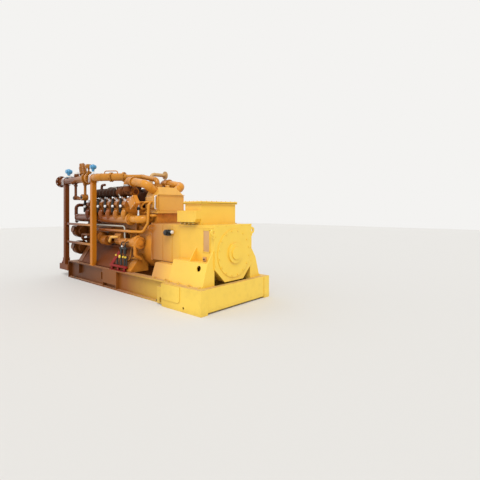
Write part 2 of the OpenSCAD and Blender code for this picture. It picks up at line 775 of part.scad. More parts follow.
module charge_cooler() {
    top = cooler_z + cooler_side + hood_h;
    color(ochre) {
        intersection() {
            span(stator_end, stator_end + cooler_l) polygon([[-cooler_w / 2, cooler_z],
                [cooler_w / 2, cooler_z], [cooler_w / 2, cooler_z + cooler_side], [hood_top_w / 2, top],
                [-hood_top_w / 2, top], [-cooler_w / 2, cooler_z + cooler_side]]);
            translate([0, cooler_w / 2 + 1, 0]) rotate([90, 0, 0]) linear_extrude(cooler_w + 2)
                polygon([[at(stator_end + cooler_l), cooler_z], [at(stator_end), cooler_z],
                    [at(stator_end), cooler_z + cooler_side], [at(stator_end + 130), top],
                    [at(stator_end + cooler_l), top]]);
        }
        span(stator_end - 15, stator_end) translate([-cooler_w / 2 + 20, cooler_z + 20])
            square([cooler_w - 40, cooler_side - 30]);
        // Lower flange
        span(stator_end - 22, stator_end + cooler_l + 22) translate([-cooler_w / 2 - 22, cooler_z])
            square([cooler_w + 44, 22]);
        // Water headers on both sides
        for (y = [-1, 1]) span(stator_end + 60, stator_end + cooler_l - 40) polygon([
            [y * cooler_w / 2, cooler_z + 60], [y * (cooler_w / 2 + 50), cooler_z + 90],
            [y * (cooler_w / 2 + 50), cooler_z + cooler_side - 50],
            [y * cooler_w / 2, cooler_z + cooler_side - 20]]);
    }
}

// Junction box on an arm from the cooler's side, tilted along the cables
module junction_box() {
    color(ochre) {
        translate([at(2170), -660, 1790]) rotate([0, -35, 0]) cube([220, 90, 200], center = true);
        rod([at(2150), -630, 1790], [at(2150), -cooler_w / 2 - 45, 1790], 24);
    }
}

module water_outlet() {
    color("#d8b27a") {
        pipe([[at(coolant_d), 30, bank(deck_r, -head_w / 2)[1] - 110], [at(coolant_d), 30, coolant_z],
            [at(coolant_d), coolant_y, coolant_z]], coolant_r, 90);
        flange([at(coolant_d), coolant_y, coolant_z], [0, 1, 0], 92.5, 18, 72.5, 8, 9);
    }
}

// Gas train

module gas_pipe() {
    bend = [at(slant_start), -gas_y, gas_z];
    top = [at(slant_end), mixer_y, gas_z];
    slant = unit(top - bend);
    color(ochre) {
        difference() {
            union() {
                pipe([[at(gas_end - 20), -gas_y, gas_z], bend, bend + slant * (reducer_at - bead_gap)],
                    gas_r, gas_bend);
                flange(bend + slant * (reducer_at - 20), slant, 108, 28);
                flange(bend + slant * (coupling_at - coupling_l / 2), slant, 102, coupling_l);
                flange([at(gas_end - 24), -gas_y, gas_z], [-1, 0, 0], gas_flange_r, 24, gas_bolt_r, 8);
                // Flanges and body of the shut-off valve
                for (d = [4022, 3824]) flange([at(d), -gas_y, gas_z], [1, 0, 0], gas_flange_r, 24);
                rod([at(3985), -gas_y, gas_z], [at(3860), -gas_y, gas_z], 108);
                rod([at(3922), -gas_y, gas_z], [at(3922), -gas_y, gas_z + 150], 34);
                // Strainer standing on the pipe
                rod([at(4529), -gas_y, gas_z], [at(4529), -gas_y, gas_z + 140], 56);
                rod([at(regulator_d), -gas_y, gas_z],
                    [at(regulator_d), -gas_y, gas_z] + regulator_tilt * (gas_r + boss_h), boss_r);
                for (d = bypass_d)
                    rod([at(d), -gas_y, gas_z], [at(d), -gas_y, gas_z - gas_r - boss_h / 2], 42);
            }
            rod([at(gas_end + 1), -gas_y, gas_z], [at(gas_end - 200), -gas_y, gas_z], gas_r - 7);
        }
        // Reducer and the thinner pipe to the gas mixer
        aim(bend + slant * (reducer_at + bead_gap), slant)
            cylinder(h = reducer_l - 2 * bead_gap, r1 = gas_r, r2 = feed_r);
        bead(bend + slant * (reducer_at + reducer_l), slant, feed_r + 1);
        pipe([bend + slant * (reducer_at + reducer_l + bead_gap), top, [at(mixer_d), mixer_y, mixer_pipe_z],
            [at(mixer_d), mixer_y, mixer_z + mixer_h - 2]], feed_r, feed_bend);
        translate([at(mixer_d), mixer_y, mixer_z]) cylinder(h = mixer_h + 1, r = mixer_r);
    }
}

module gas_regulator() {
    color(ochre) aim([at(regulator_d), -gas_y, gas_z] + regulator_tilt * (gas_r + boss_h), regulator_tilt) {
        cylinder(h = 190, r = 77);
        cylinder(h = 26, r = 92);
        translate([0, 0, 189]) cylinder(h = 70, r = 62);
    }
}

module gas_bypass() {
    top = gas_z - gas_r - boss_h / 2;
    color(ochre) {
        pipe([[at(bypass_d[1]), -gas_y, top], [at(bypass_d[1]), -gas_y, bypass_z],
            [at(bypass_d[0]), -gas_y, bypass_z], [at(bypass_d[0]), -gas_y, top]], bypass_r, 80);
        // Valve body, and a smaller one beside it
        rod([at(4130), -gas_y + 60, bypass_z + 20], [at(4130), -gas_y - 62, bypass_z + 20], 74);
        rod([at(4540), -gas_y + 40, bypass_z + 15], [at(4540), -gas_y - 55, bypass_z + 15], 50);
    }
}

// Two gas pressure transmitters on top of the pipe
module gas_instruments() {
    color("#3f8fc8") {
        translate([at(4964), -gas_y, gas_z + gas_r - 4]) {
            cylinder(h = 44, r = 80);
            cylinder(h = 150, r = 26);
            translate([0, 0, 148]) sphere(r = 68);
        }
        translate([at(3715), -gas_y, gas_z + gas_r - 4]) {
            cylinder(h = 150, r = 27);
            translate([0, 0, 168]) sphere(r = 60);
        }
    }
}

module post(d, z0) {
    color(yellow) translate([at(d) - post_w / 2, -gas_y - post_w / 2, z0])
        cube([post_w, post_w, gas_z - gas_r - z0]);
}

// Front post on its bracket, which is welded to the rail's end
module front_post() {
    post(post_front_d, post_foot_z);
    color(yellow) {
        translate([at(bracket_end), -gas_y - 60, 156]) cube([bracket_end - skid_l, 130, 134]);
        translate([at(post_front_d) - 60, -gas_y - 60, 289]) cube([120, 120, post_foot_z - 288]);
    }
}

module post_rungs() {
    color(ochre) for (z = [860, 1300])
        translate([at(post_front_d) + post_w / 2, -gas_y - 25, z - 25])
            cube([post_front_d - post_rear_d - post_w, 50, 50]);
}

near() rail();  // rail_near
rail();  // rail_far
near() sill();  // sill_near
sill();  // sill_far
cross_beam(end_beam_inset, end_beam_w, sill_in, end_beam_gap);  // rear_end_beam
cross_beam(sill_l - flange_w, flange_w, sill_in, 0);  // transition_beam
low_cross_member();
cross_beam(skid_l - flange_w, flange_w, rail_in, 0);  // front_cross_member
generator_end_plate();
generator_end_cover();
exciter_housing();
stator_frame();
adapter_plate();
near() pedestal();  // pedestal_near
pedestal();  // pedestal_far
terminal_box();
terminal_box_lid();
cable_entry_box();
flywheel_housing();
crankcase();
engine_base();
gear_housing();
side_castings();
near() cylinder_heads();  // cylinder_heads_near
cylinder_heads();  // cylinder_heads_far
near() valve_covers();  // valve_covers_near
valve_covers();  // valve_covers_far
near() intake_manifold();  // intake_manifold_near
intake_manifold();  // intake_manifold_far
balance_pipe();
exhaust_manifold();
near() turbocharger();  // turbocharger_near
turbocharger();  // turbocharger_far
near() charge_pipe();  // charge_pipe_near
charge_pipe();  // charge_pipe_far
charge_cooler();
junction_box();
water_outlet();
gas_pipe();
gas_regulator();
gas_bypass();
gas_instruments();
post(post_rear_d, skid_h);  // post_rear
front_post();  // post_front
post_rungs();
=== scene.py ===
"""Looks of a gas engine generator set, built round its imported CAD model.

The pieces' sizes and places are in millimetres."""
import json
import math

import bmesh
import bpy
from mathutils import Euler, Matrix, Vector


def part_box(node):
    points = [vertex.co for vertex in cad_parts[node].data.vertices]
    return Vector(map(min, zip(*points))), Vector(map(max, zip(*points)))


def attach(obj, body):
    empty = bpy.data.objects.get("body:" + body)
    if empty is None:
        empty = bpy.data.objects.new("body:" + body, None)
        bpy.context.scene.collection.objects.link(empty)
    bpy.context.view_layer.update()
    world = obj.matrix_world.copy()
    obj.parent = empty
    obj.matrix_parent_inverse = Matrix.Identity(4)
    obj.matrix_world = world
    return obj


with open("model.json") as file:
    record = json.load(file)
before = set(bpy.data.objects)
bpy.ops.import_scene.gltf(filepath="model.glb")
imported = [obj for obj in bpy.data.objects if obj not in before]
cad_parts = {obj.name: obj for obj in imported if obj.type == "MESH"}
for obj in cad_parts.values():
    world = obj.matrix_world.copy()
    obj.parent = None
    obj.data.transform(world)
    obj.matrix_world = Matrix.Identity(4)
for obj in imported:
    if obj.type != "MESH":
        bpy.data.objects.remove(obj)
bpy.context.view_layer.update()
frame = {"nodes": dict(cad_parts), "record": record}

# Camera
# A level view with a vertical shift, from in front of the generator's end and outside the gas
# pipe's side.
EYE = (6510, -4510, 1640)
SIDE_ANGLE = 40.9


def mm(*sizes):
    """A point or an offset in millimetres, as a vector in the scene's metres."""
    return Vector([s / 1000 for s in sizes])


camera = bpy.data.objects.new("camera", bpy.data.cameras.new("camera"))
bpy.context.scene.collection.objects.link(camera)
camera.data.sensor_width = 36.0
camera.data.lens = 26.25
camera.data.shift_y = -0.0625
camera.location = mm(*EYE)
camera.rotation_euler = (math.radians(90), 0, math.radians(SIDE_ANGLE))
bpy.context.scene.camera = camera


# Floor and light
# A pale studio floor that keeps the set's shadow, soft light from all round, and one wide lamp
# from above the generator's end, where the daylight falls on the real set.
AMBIENT = 0.62
LAMPS = (("daylight", 1.6, 0.5, (38, 12, 30)), ("fill", 0.62, 1.2, (60, 0, -70)))


def linear(hex_colour):
    """An sRGB hex colour as the linear values that a shader takes."""
    channels = [int(hex_colour[i:i + 2], 16) / 255 for i in (1, 3, 5)]
    return tuple(c / 12.92 if c <= 0.04045 else ((c + 0.055) / 1.055) ** 2.4 for c in channels) + (1.0,)


def add_node(tree, kind, settings=(), links=()):
    """A node with its settings and links. A key names an input, or else a property of the node."""
    node = tree.nodes.new(kind)
    for key, value in dict(settings).items():
        if isinstance(key, int) or key in node.inputs:
            node.inputs[key].default_value = value
        else:
            setattr(node, key, value)
    for key, socket in dict(links).items():
        tree.links.new(socket, node.inputs[key])
    return node


def plain_finish(name, colour, roughness, metallic=0.0):
    """A finish of one even tone."""
    material = bpy.data.materials.new(name)
    material.use_nodes = True
    shader = material.node_tree.nodes["Principled BSDF"]
    shader.inputs["Base Color"].default_value = linear(colour)
    shader.inputs["Roughness"].default_value = roughness
    shader.inputs["Metallic"].default_value = metallic
    return material


world = bpy.data.worlds.new("studio")
world.use_nodes = True
sky = world.node_tree
sky.nodes["Background"].inputs["Color"].default_value = (1, 1, 1, 1)
sky.nodes["Background"].inputs["Strength"].default_value = AMBIENT
seen = add_node(sky, "ShaderNodeLightPath")
backdrop = add_node(sky, "ShaderNodeBackground", {"Color": linear("#F4F3F1"), "Strength": 1.0})
shown = seen.outputs["Is Camera Ray"]
for ray in ("Is Glossy Ray", "Is Transmission Ray"):
    either = add_node(sky, "ShaderNodeMath", {"operation": "MAXIMUM"}, {0: shown, 1: seen.outputs[ray]})
    shown = either.outputs[0]
blend = add_node(sky, "ShaderNodeMixShader", {},
                 {0: shown, 1: sky.nodes["Background"].outputs[0], 2: backdrop.outputs[0]})
sky.links.new(blend.outputs[0], sky.nodes["World Output"].inputs["Surface"])
bpy.context.scene.world = world
bpy.context.scene.view_settings.view_transform = "Standard"

bpy.ops.mesh.primitive_plane_add(size=60)
floor = bpy.context.object
floor.name = "floor"
floor.data.materials.append(plain_finish("studio_floor", "#DEDCD8", 0.9))

for lamp_name, strength, spread, tilt in LAMPS:
    lamp = bpy.data.objects.new(lamp_name, bpy.data.lights.new(lamp_name, "SUN"))
    lamp.data.energy = strength
    lamp.data.angle = spread
    lamp.rotation_euler = [math.radians(a) for a in tilt]
    bpy.context.scene.collection.objects.link(lamp)


# Skid
# Welded from rolled beams and plate, with the gas train's posts standing on it. Its enamel is
# bright yellow at the generator and browner towards the engine's front, with cement dust and
# oil on the flanges and in the corners. The browning and the dark corners are partly oil and
# partly painted shade.
BODY = "root"
skid_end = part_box("sill_near")[1].x


def spot(d, y, z):
    """The point that lies d from the generator end of the skid."""
    return Vector((skid_end - d / 1000, y / 1000, z / 1000))


def ranged(tree, value, start, end, low=0.0, high=1.0):
    """A value that runs from low to high while another runs from start to end."""
    limits = {"From Min": start, "From Max": end, "To Min": low, "To Max": high}
    return add_node(tree, "ShaderNodeMapRange", limits, {"Value": value}).outputs[0]


def product(tree, one, other):
    """Two values multiplied."""
    return add_node(tree, "ShaderNodeMath", {"operation": "MULTIPLY"}, {0: one, 1: other}).outputs[0]


def tinted(tree, part, under, tint):
    """A colour with a part of it covered by a flat tint."""
    mix = add_node(tree, "ShaderNodeMix", {"data_type": "RGBA", 7: linear(tint)}, {0: part, 6: under})
    return mix.outputs[2]


def enamel(name, paint, grime_and_shade, dust, rough, grime_and_shade_amount, dust_amount, brush=160, oil_and_shade_fades=(),
           span=(0, 1000), gloss=0.5, reach=160):
    """Brushed enamel: its tone drifts over a brush stroke's width and darkens along the set, a dark
    film stays in the corners, and dust settles on faces that look up. The darkening along the set
    and the dark corners are partly oil and partly painted shade."""
    material = plain_finish(name, paint, rough)
    tree = material.node_tree
    shader = tree.nodes["Principled BSDF"]
    place = add_node(tree, "ShaderNodeTexCoord").outputs["Object"]
    # Darker paint towards the engine's front: partly older, oilier paint and partly painted shade
    tones = (paint, *(oil_and_shade_fades or (paint,)))
    along = add_node(tree, "ShaderNodeSeparateXYZ", {}, {0: place}).outputs["X"]
    ramp = add_node(tree, "ShaderNodeValToRGB", {}, {0: ranged(tree, along, span[0] / 1000, span[1] / 1000)})
    stops = ramp.color_ramp.elements
    for i in range(1, len(tones) - 1):
        stops.new(i / (len(tones) - 1))
    for stop, tone in zip(stops, tones):
        stop.color = linear(tone)
    drift = add_node(tree, "ShaderNodeTexNoise", {"Scale": 1000 / brush, "Detail": 5.0, "Roughness": 0.6},
                     {"Vector": place})
    drift_part = ranged(tree, drift.outputs["Fac"], 0.48, 0.85, 0, 0.35 * grime_and_shade_amount)
    aged = tinted(tree, drift_part, ramp.outputs[0], grime_and_shade)
    # Dark film in corners, broken up by patches: partly oil and partly painted shade
    patch = add_node(tree, "ShaderNodeTexNoise", {"Scale": 9.0, "Detail": 8.0, "Roughness": 0.7},
                     {"Vector": place}).outputs["Fac"]
    patch_part = ranged(tree, patch, 0.35, 0.65, 0.35)
    corner = add_node(tree, "ShaderNodeAmbientOcclusion", {"samples": 6, "Distance": reach / 1000})
    corner_shade_and_oil = ranged(tree, corner.outputs["AO"], 0.85, 0.25, 0, grime_and_shade_amount)
    oiled_and_shaded = tinted(tree, product(tree, corner_shade_and_oil, patch_part), aged, grime_and_shade)
    # Dust on faces that look up
    normal = add_node(tree, "ShaderNodeNewGeometry").outputs["Normal"]
    upward = add_node(tree, "ShaderNodeSeparateXYZ", {}, {0: normal}).outputs["Z"]
    level = ranged(tree, upward, 0.75, 0.98, 0, dust_amount)
    settled = product(tree, level, patch_part)
    tree.links.new(tinted(tree, settled, oiled_and_shaded, dust), shader.inputs["Base Color"])
    dull = ranged(tree, settled, 0, 1, rough, min(1.0, rough + 0.4))
    tree.links.new(dull, shader.inputs["Roughness"])
    shader.inputs["IOR"].default_value = 1.5
    shader.inputs["Specular IOR Level"].default_value = gloss
    ripple = add_node(tree, "ShaderNodeBump", {"Strength": 0.08, "Distance": 0.002}, {"Height": patch})
    tree.links.new(ripple.outputs[0], shader.inputs["Normal"])
    return material


def paint_nodes(material, *names):
    """Put a finish on CAD nodes."""
    for name in names:
        mesh = frame["nodes"][name].data
        if not mesh.materials:
            mesh.materials.append(material)
        for i in range(len(mesh.materials)):
            mesh.materials[i] = material


skid_enamel = enamel("brushed_yellow_enamel_on_rolled_steel", "#FDD65C", "#6E3A18", "#BD9070",
                     0.36, 0.45, 0.8, oil_and_shade_fades=("#985A22", "#5C300F"), span=(2000, -1600), gloss=0.2)
paint_nodes(skid_enamel, "rail_near", "rail_far", "sill_near", "sill_far", "rear_end_beam", "transition_beam",
            "low_cross_member", "front_cross_member")


# Bolts of the whole set
# Zinc-plated hexagon bolts with washers, most of them painted over with the part that they hold.
# Each one stands on a seat: a point, the direction of its axis and its width across flats.
UP, OUT, FRONT, NEAR = (Vector(axis) for axis in ((0, 0, 1), (1, 0, 0), (-1, 0, 0), (0, -1, 0)))


def begin_tree(name, taken, *numbers):
    """A tree that takes in a geometry, a finish and perhaps numbers, with the sockets of what is given."""
    tree = bpy.data.node_groups.new(name, "GeometryNodeTree")
    for socket, kind in [(taken, "Geometry"), ("Finish", "Material")] + [(n, "Float") for n in numbers]:
        tree.interface.new_socket(socket, in_out="INPUT", socket_type="NodeSocket" + kind)
    tree.interface.new_socket("Shapes", in_out="OUTPUT", socket_type="NodeSocketGeometry")
    return tree, add_node(tree, "NodeGroupInput").outputs


def end_tree(tree, shapes, finish):
    """The tree's last nodes: its shapes made real, with the finish on them."""
    real = add_node(tree, "GeometryNodeRealizeInstances", {}, {0: shapes})
    coat = add_node(tree, "GeometryNodeSetMaterial", {}, {"Geometry": real.outputs[0], "Material": finish})
    add_node(tree, "NodeGroupOutput", {}, {"Shapes": coat.outputs[0]})
    return tree


def seat_tree(name, bars, balls=()):
    """A tree that puts one shape on each seat, turned to its axis and scaled to its size. The shape is one
    unit across, of bars (sides, radius, depth, base) and balls (radius, centre)."""
    tree, given = begin_tree(name, "Seats")
    shape = add_node(tree, "GeometryNodeJoinGeometry")
    solids = [("UVSphere", {"Segments": 12, "Rings": 8, "Radius": r}, z) for r, z in balls]
    solids += [("Cylinder", {"Vertices": n, "Radius": r, "Depth": h}, base + h / 2) for n, r, h, base in bars]
    for kind, sizes, z in solids:
        solid = add_node(tree, "GeometryNodeMesh" + kind, sizes)
        placed = add_node(tree, "GeometryNodeTransform", {"Translation": (0, 0, z)},
                          {"Geometry": solid.outputs[0]})
        tree.links.new(placed.outputs[0], shape.inputs[0])
    axis = add_node(tree, "GeometryNodeInputNamedAttribute", {"data_type": "FLOAT_VECTOR", "Name": "axis"})
    size = add_node(tree, "GeometryNodeInputNamedAttribute", {"data_type": "FLOAT", "Name": "size"})
    turn = add_node(tree, "FunctionNodeAlignRotationToVector", {"axis": "Z"}, {"Vector": axis.outputs[0]})
    spread = add_node(tree, "GeometryNodeInstanceOnPoints", {},
                      {"Points": given["Seats"], "Instance": shape.outputs[0],
                       "Rotation": turn.outputs[0], "Scale": size.outputs[0]})
    return end_tree(tree, spread.outputs[0], given["Finish"])


def grown(name, mesh, tree, slot_name, **inputs):
    """The plain mesh that a tree makes from a seed mesh, as a piece of the set."""
    obj = bpy.data.objects.new(name, mesh)
    bpy.context.scene.collection.objects.link(obj)
    rule = obj.modifiers.new("rule", "NODES")
    rule.node_group = tree
    for item in tree.interface.items_tree:
        if item.in_out == "INPUT" and item.name in inputs:
            rule[item.identifier] = inputs[item.name]
    graph = bpy.context.evaluated_depsgraph_get()
    plain = bpy.data.meshes.new_from_object(obj.evaluated_get(graph), depsgraph=graph)
    obj.modifiers.clear()
    obj.data = plain
    if plain.materials[0] is None:
        plain.materials.pop(index=0)
    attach(obj, BODY)
    return obj


bolt_tree = seat_tree("hexagon_bolts", [(6, 0.577, 0.62, 0.10), (12, 0.72, 0.16, -0.02)])


def seated(name, seats, finish, slot_name, tree=bolt_tree):
    """One shape of a tree on each seat."""
    mesh = bpy.data.meshes.new(name)
    mesh.from_pydata([s[0] for s in seats], [], [])
    mesh.attributes.new("axis", "FLOAT_VECTOR", "POINT")
    mesh.attributes.new("size", "FLOAT", "POINT")
    mesh.attributes["axis"].data.foreach_set("vector", [part for s in seats for part in s[1]])
    mesh.attributes["size"].data.foreach_set("value", [s[2] / 1000 for s in seats])
    return grown(name, mesh, tree, slot_name, Finish=finish)


def cross_axes(axis):
    """An axis as a unit vector, with two more that stand square to it."""
    axis = Vector(axis).normalized()
    side = axis.orthogonal().normalized()
    return axis, side, axis.cross(side)


def ring_seats(centre, axis, radius, count, size):
    """Seats on a bolt circle."""
    axis, side, up = cross_axes(axis)
    angles = [2 * math.pi * (i + 0.5) / count for i in range(count)]
    return [(centre + radius / 1000 * (side * math.cos(a) + up * math.sin(a)), axis, size) for a in angles]


def row_seats(start, end, axis, count, size):
    """Seats at even steps on a line."""
    return [(start.lerp(end, i / (count - 1)), axis, size) for i in range(count)]


def seat_rows(axis, size, *rows):
    """Rows of seats, each from (d, y, z) to (d, y, z) with its count."""
    return [seat for *ends, count in rows
            for seat in row_seats(spot(*ends[:3]), spot(*ends[3:]), axis, count, size)]


# Rusty nuts, dull enough to hardly show on the skid's flange
foundation_steel = plain_finish("rusty_foundation_nuts", "#5B4A3E", 0.7)
FLANGE_TOP = 22
holes = next(m for m in frame["record"]["mounts"] if m["name"] == "anchor_holes")
nuts = [(mm(1000 * holes["pos_m"][0] + sx * holes["dims"]["spacing_x_mm"], sy * holes["dims"]["spacing_y_mm"],
            FLANGE_TOP), UP, 36) for sx in (-0.5, 0.5) for sy in (-0.5, 0.5)]
seated("foundation_nuts", nuts, foundation_steel, "skid_paint")


# Generator
# A two-bearing generator in a welded sheet-steel frame with chamfered lower corners, on hollow
# pedestals. Bright yellow enamel, cleaner than the engine's and deeper towards it, with a round
# bolted end cover. The deeper tone towards the engine is painted shade.
SIDES = (-1, 1)
RIM_BOLTS = 16
SEAM_Z = 1340
WALL_Y = 460
CREASE = math.radians(35)


def box_mm(node):
    """The low and the high corner of a CAD node, in millimetres."""
    low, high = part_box(node)
    return low * 1000, high * 1000


def piece(name, bm, finish):
    """One piece of the set from a bmesh, with its faces outwards and its round faces smooth."""
    bmesh.ops.recalc_face_normals(bm, faces=bm.faces)
    mesh = bpy.data.meshes.new(name)
    bm.to_mesh(mesh)
    bm.free()
    mesh.shade_smooth()
    mesh.set_sharp_from_angle(angle=CREASE)
    mesh.materials.append(finish)
    obj = bpy.data.objects.new(name, mesh)
    bpy.context.scene.collection.objects.link(obj)
    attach(obj, BODY)
    return obj


def block(bm, low, high, bevel, turn=None, centre=None):
    """A box between two corners, bevelled, and turned about a centre by a rotation matrix."""
    low, high = Vector(map(min, low, high)), Vector(map(max, low, high))
    verts = bmesh.ops.create_cube(bm, size=1)["verts"]
    for v in verts:
        v.co = Vector([low[i] + (v.co[i] + 0.5) * (high[i] - low[i]) for i in range(3)])
    edges = {e for v in verts for e in v.link_edges}
    made = bmesh.ops.bevel(bm, geom=list(edges), offset=bevel / 1000, segments=2, profile=0.6, affect="EDGES")
    if turn:
        corners = {v for f in made["faces"] for v in f.verts} | {v for v in verts if v.is_valid}
        bmesh.ops.rotate(bm, verts=list(corners), cent=centre, matrix=turn)


def blocks(bm, bevel, rows, sides=(1,)):
    """Boxes from (d, y, z) to (d, y, z), on the far side of the set, the near side or both."""
    for side in sides:
        for d0, y0, z0, d1, y1, z1 in rows:
            block(bm, spot(d0, side * y0, z0), spot(d1, side * y1, z1), bevel)
    return bm


def turned(bm, start, axis, profile, steps=24):
    """A body of revolution from (distance along the axis, radius) pairs."""
    axis, side, up = cross_axes(axis)
    rings = []
    for along, radius in profile:
        centre = start + axis * (along / 1000)
        if radius == 0:
            rings.append([bm.verts.new(centre)])
        else:
            rings.append([bm.verts.new(centre + radius / 1000 * (side * math.cos(a) + up * math.sin(a)))
                          for a in (2 * math.pi * i / steps for i in range(steps))])
    for low, high in zip(rings, rings[1:]):
        for i in range(steps):
            j = (i + 1) % steps
            if len(low) == 1:
                bm.faces.new((low[0], high[i], high[j]))
            elif len(high) == 1:
                bm.faces.new((low[i], high[0], low[j]))
            else:
                bm.faces.new((low[i], high[i], high[j], low[j]))
    for ring in (rings[0], rings[-1]):
        if len(ring) > 1:
            bm.faces.new(ring)


def turnings(bm, *rows):
    """Bodies of revolution, each with its start (d, y, z), axis, profile and steps."""
    for start, axis, profile, steps in rows:
        turned(bm, spot(*start), axis, profile, steps)
    return bm


def revolved(name, finish, slot_name, *rows):
    """A piece made of bodies of revolution alone."""
    return piece(name, turnings(bmesh.new(), *rows), finish)


def prism(bm, outline, depth):
    """A plate from its outline's corners, with its thickness as a vector."""
    near = [bm.verts.new(p) for p in outline]
    far = [bm.verts.new(p + depth) for p in outline]
    bm.faces.new(near)
    bm.faces.new(far)
    for i in range(len(near)):
        j = (i + 1) % len(near)
        bm.faces.new((near[i], near[j], far[j], far[i]))


generator_enamel = enamel("brushed_yellow_enamel_on_sheet_steel", "#FFD550", "#A8701F", "#DDB878",
                          0.26, 0.32, 0.4, brush=240, oil_and_shade_fades=("#FDCC4A", "#FAC646", "#D89A3C", "#B87430"),
                          span=(2450, 750), gloss=0.4)
paint_nodes(generator_enamel, "generator_end_plate", "generator_end_cover", "exciter_housing", "stator_frame",
            "adapter_plate", "pedestal_near", "pedestal_far", "terminal_box", "terminal_box_lid",
            "cable_entry_box")

cover_low, cover_high = box_mm("generator_end_cover")
shaft_z = (cover_low.z + cover_high.z) / 2
cover_r = (cover_high.z - cover_low.z) / 2
seated("end_cover_bolts", ring_seats(spot(90, 0, shaft_z), OUT, cover_r - 28, RIM_BOLTS, 20),
       generator_enamel, "generator_paint")

trim = blocks(bmesh.new(), 2, [
    # Folded seam along the side, and the joint of exciter housing and stator
    (128, WALL_Y - 4, SEAM_Z - 6, 1000, WALL_Y + 5, SEAM_Z + 6),
    (1000, WALL_Y - 14, 670, 1018, WALL_Y + 3, 1383),
    # Rim round the side cover
    (228, WALL_Y, 930, 392, WALL_Y + 11, 942), (228, WALL_Y, 1294, 392, WALL_Y + 11, 1306),
    (228, WALL_Y, 930, 240, WALL_Y + 11, 1306), (380, WALL_Y, 930, 392, WALL_Y + 11, 1306),
    # Stiffening folds on the stator's side
    (1240, WALL_Y - 14, 680, 1254, WALL_Y - 6, 1360), (1520, WALL_Y - 14, 680, 1534, WALL_Y - 6, 1360),
    # Weld pads under the gussets
    (552, WALL_Y - 1, 775, 583, 620, 781)], SIDES)
piece("generator_seams", trim, generator_enamel)

# Bare primer, a flat tan among the glossy yellow
side_tan = enamel("bare_primer_panel", "#D8A870", "#8A6038", "#D9B27C", 0.6, 0.4, 0.2)
panels = blocks(bmesh.new(), 2, [(242, WALL_Y, 944, 378, WALL_Y + 7.5, 1292)], SIDES)
piece("side_cover_panels", panels, side_tan)

screw_seats = []
for side in SIDES:
    y = side * (WALL_Y + 11)
    screw_seats += seat_rows((0, side, 0), 10, *((d, y, 960, d, y, 1280, 4) for d in (234, 386)))
seated("side_cover_screws", screw_seats, generator_enamel, "generator_paint")

edge_seats = [(spot(104, y, 1370), OUT, 13) for y in (-400, -200, 200, 400)]
edge_seats += [(spot(104, side * (WALL_Y - 3), z), OUT, 13) for side in SIDES for z in (720, 960, 1200)]
seated("end_plate_bolts", edge_seats, generator_enamel, "generator_paint")

# Holding bolts through the pedestals' lower edges
FOOT_BOLTS = ((160, 765), (420, 765), (680, 765), (940, 765), (1100, 720), (1420, 720))
foot_seats = [(spot(d, side * y, 400), UP, 34) for side in SIDES for d, y in FOOT_BOLTS]
seated("pedestal_bolts", foot_seats, skid_enamel, "skid_paint")

# Speed sensor with its plug, and the earth stud's pad and black cap. The plastics are a dull
# black and a clean white, the two tones that stand out on this side.
dark_plastic = plain_finish("black_moulded_polyamide", "#232323", 0.45)
white_plastic = plain_finish("white_moulded_nylon", "#ECEAE4", 0.4)
device = turnings(blocks(bmesh.new(), 12, [(1270, -446, 1165, 1390, -520, 1275)]),
                  ((1330, -520, 1220), NEAR, [(0, 45), (30, 45), (36, 30)], 24),
                  ((1270, -490, 1235), OUT, [(0, 26), (50, 26), (52, 18), (70, 18)], 24),
                  ((350, -479, 815), NEAR, [(0, 13), (12, 13), (12, 8), (20, 8), (20, 0)], 12))
piece("speed_sensor_box", device, dark_plastic)
pad = blocks(bmesh.new(), 3, [(315, -459, 782, 385, -480, 852)])
piece("earth_pad", pad, side_tan)
revolved("speed_sensor_cap", white_plastic, "generator_paint",
         ((1200, -490, 1235), OUT, [(0, 30), (28, 30), (34, 20)], 24))


# Terminal box
# A sheet-steel box with a bolted lid on the generator's top, and a cable entry box with a gland
# plate on its near side. The glands are black nylon, with a blank plug in each.
box_low, box_high = box_mm("terminal_box")
lid_low, lid_high = box_mm("terminal_box_lid")
entry_low, entry_high = box_mm("cable_entry_box")
roof_z = box_mm("exciter_housing")[1].z
lid_seats = []
for y in (lid_low.y + 30, lid_high.y - 30):
    lid_seats += row_seats(mm(lid_low.x + 30, y, lid_high.z), mm(lid_high.x - 30, y, lid_high.z), UP, 5, 13)
for x in (lid_low.x + 30, lid_high.x - 30):
    lid_seats += row_seats(mm(x, lid_low.y + 160, lid_high.z), mm(x, lid_high.y - 160, lid_high.z), UP, 6, 13)
for z in (entry_low.z + 50, entry_high.z - 20):
    lid_seats += row_seats(mm(entry_low.x + 20, entry_low.y, z), mm(entry_high.x - 60, entry_low.y, z),
                           NEAR, 6, 10)
seated("terminal_box_screws", lid_seats, generator_enamel, "generator_paint")


def rim(low, high, wide_x, wide_y, past_x=0, past_y=0):
    """The strips (x, y, x, y) round a rectangle: how wide they are inside it, and how far they pass it."""
    for y0, y1 in ((low.y - past_y, low.y + wide_y), (high.y - wide_y, high.y + past_y)):
        yield low.x - past_x, y0, high.x + past_x, y1
    for x0, x1 in ((low.x - past_x, low.x + wide_x), (high.x - wide_x, high.x + past_x)):
        yield x0, low.y, x1, high.y


folds = bmesh.new()
for x0, y0, x1, y1 in rim(lid_low, lid_high, 4, 4):
    block(folds, mm(x0, y0, lid_low.z - 12), mm(x1, y1, lid_low.z + 10), 1)
# Flange of the box on the generator's top
for x0, y0, x1, y1 in rim(box_low, box_high, 10, 20, 30, 12):
    block(folds, mm(x0, y0, roof_z - 1), mm(x1, y1, roof_z + 10), 2)
piece("terminal_box_folds", folds, generator_enamel)

glands = bmesh.new()
for i in range(4):
    turned(glands, mm(entry_high.x - 110 - 100 * i, entry_low.y + 45, entry_low.z + 26), -UP,
           [(0, 34), (12, 34), (14, 28), (34, 28), (40, 20), (42, 0)], 12)
piece("cable_glands", glands, dark_plastic)


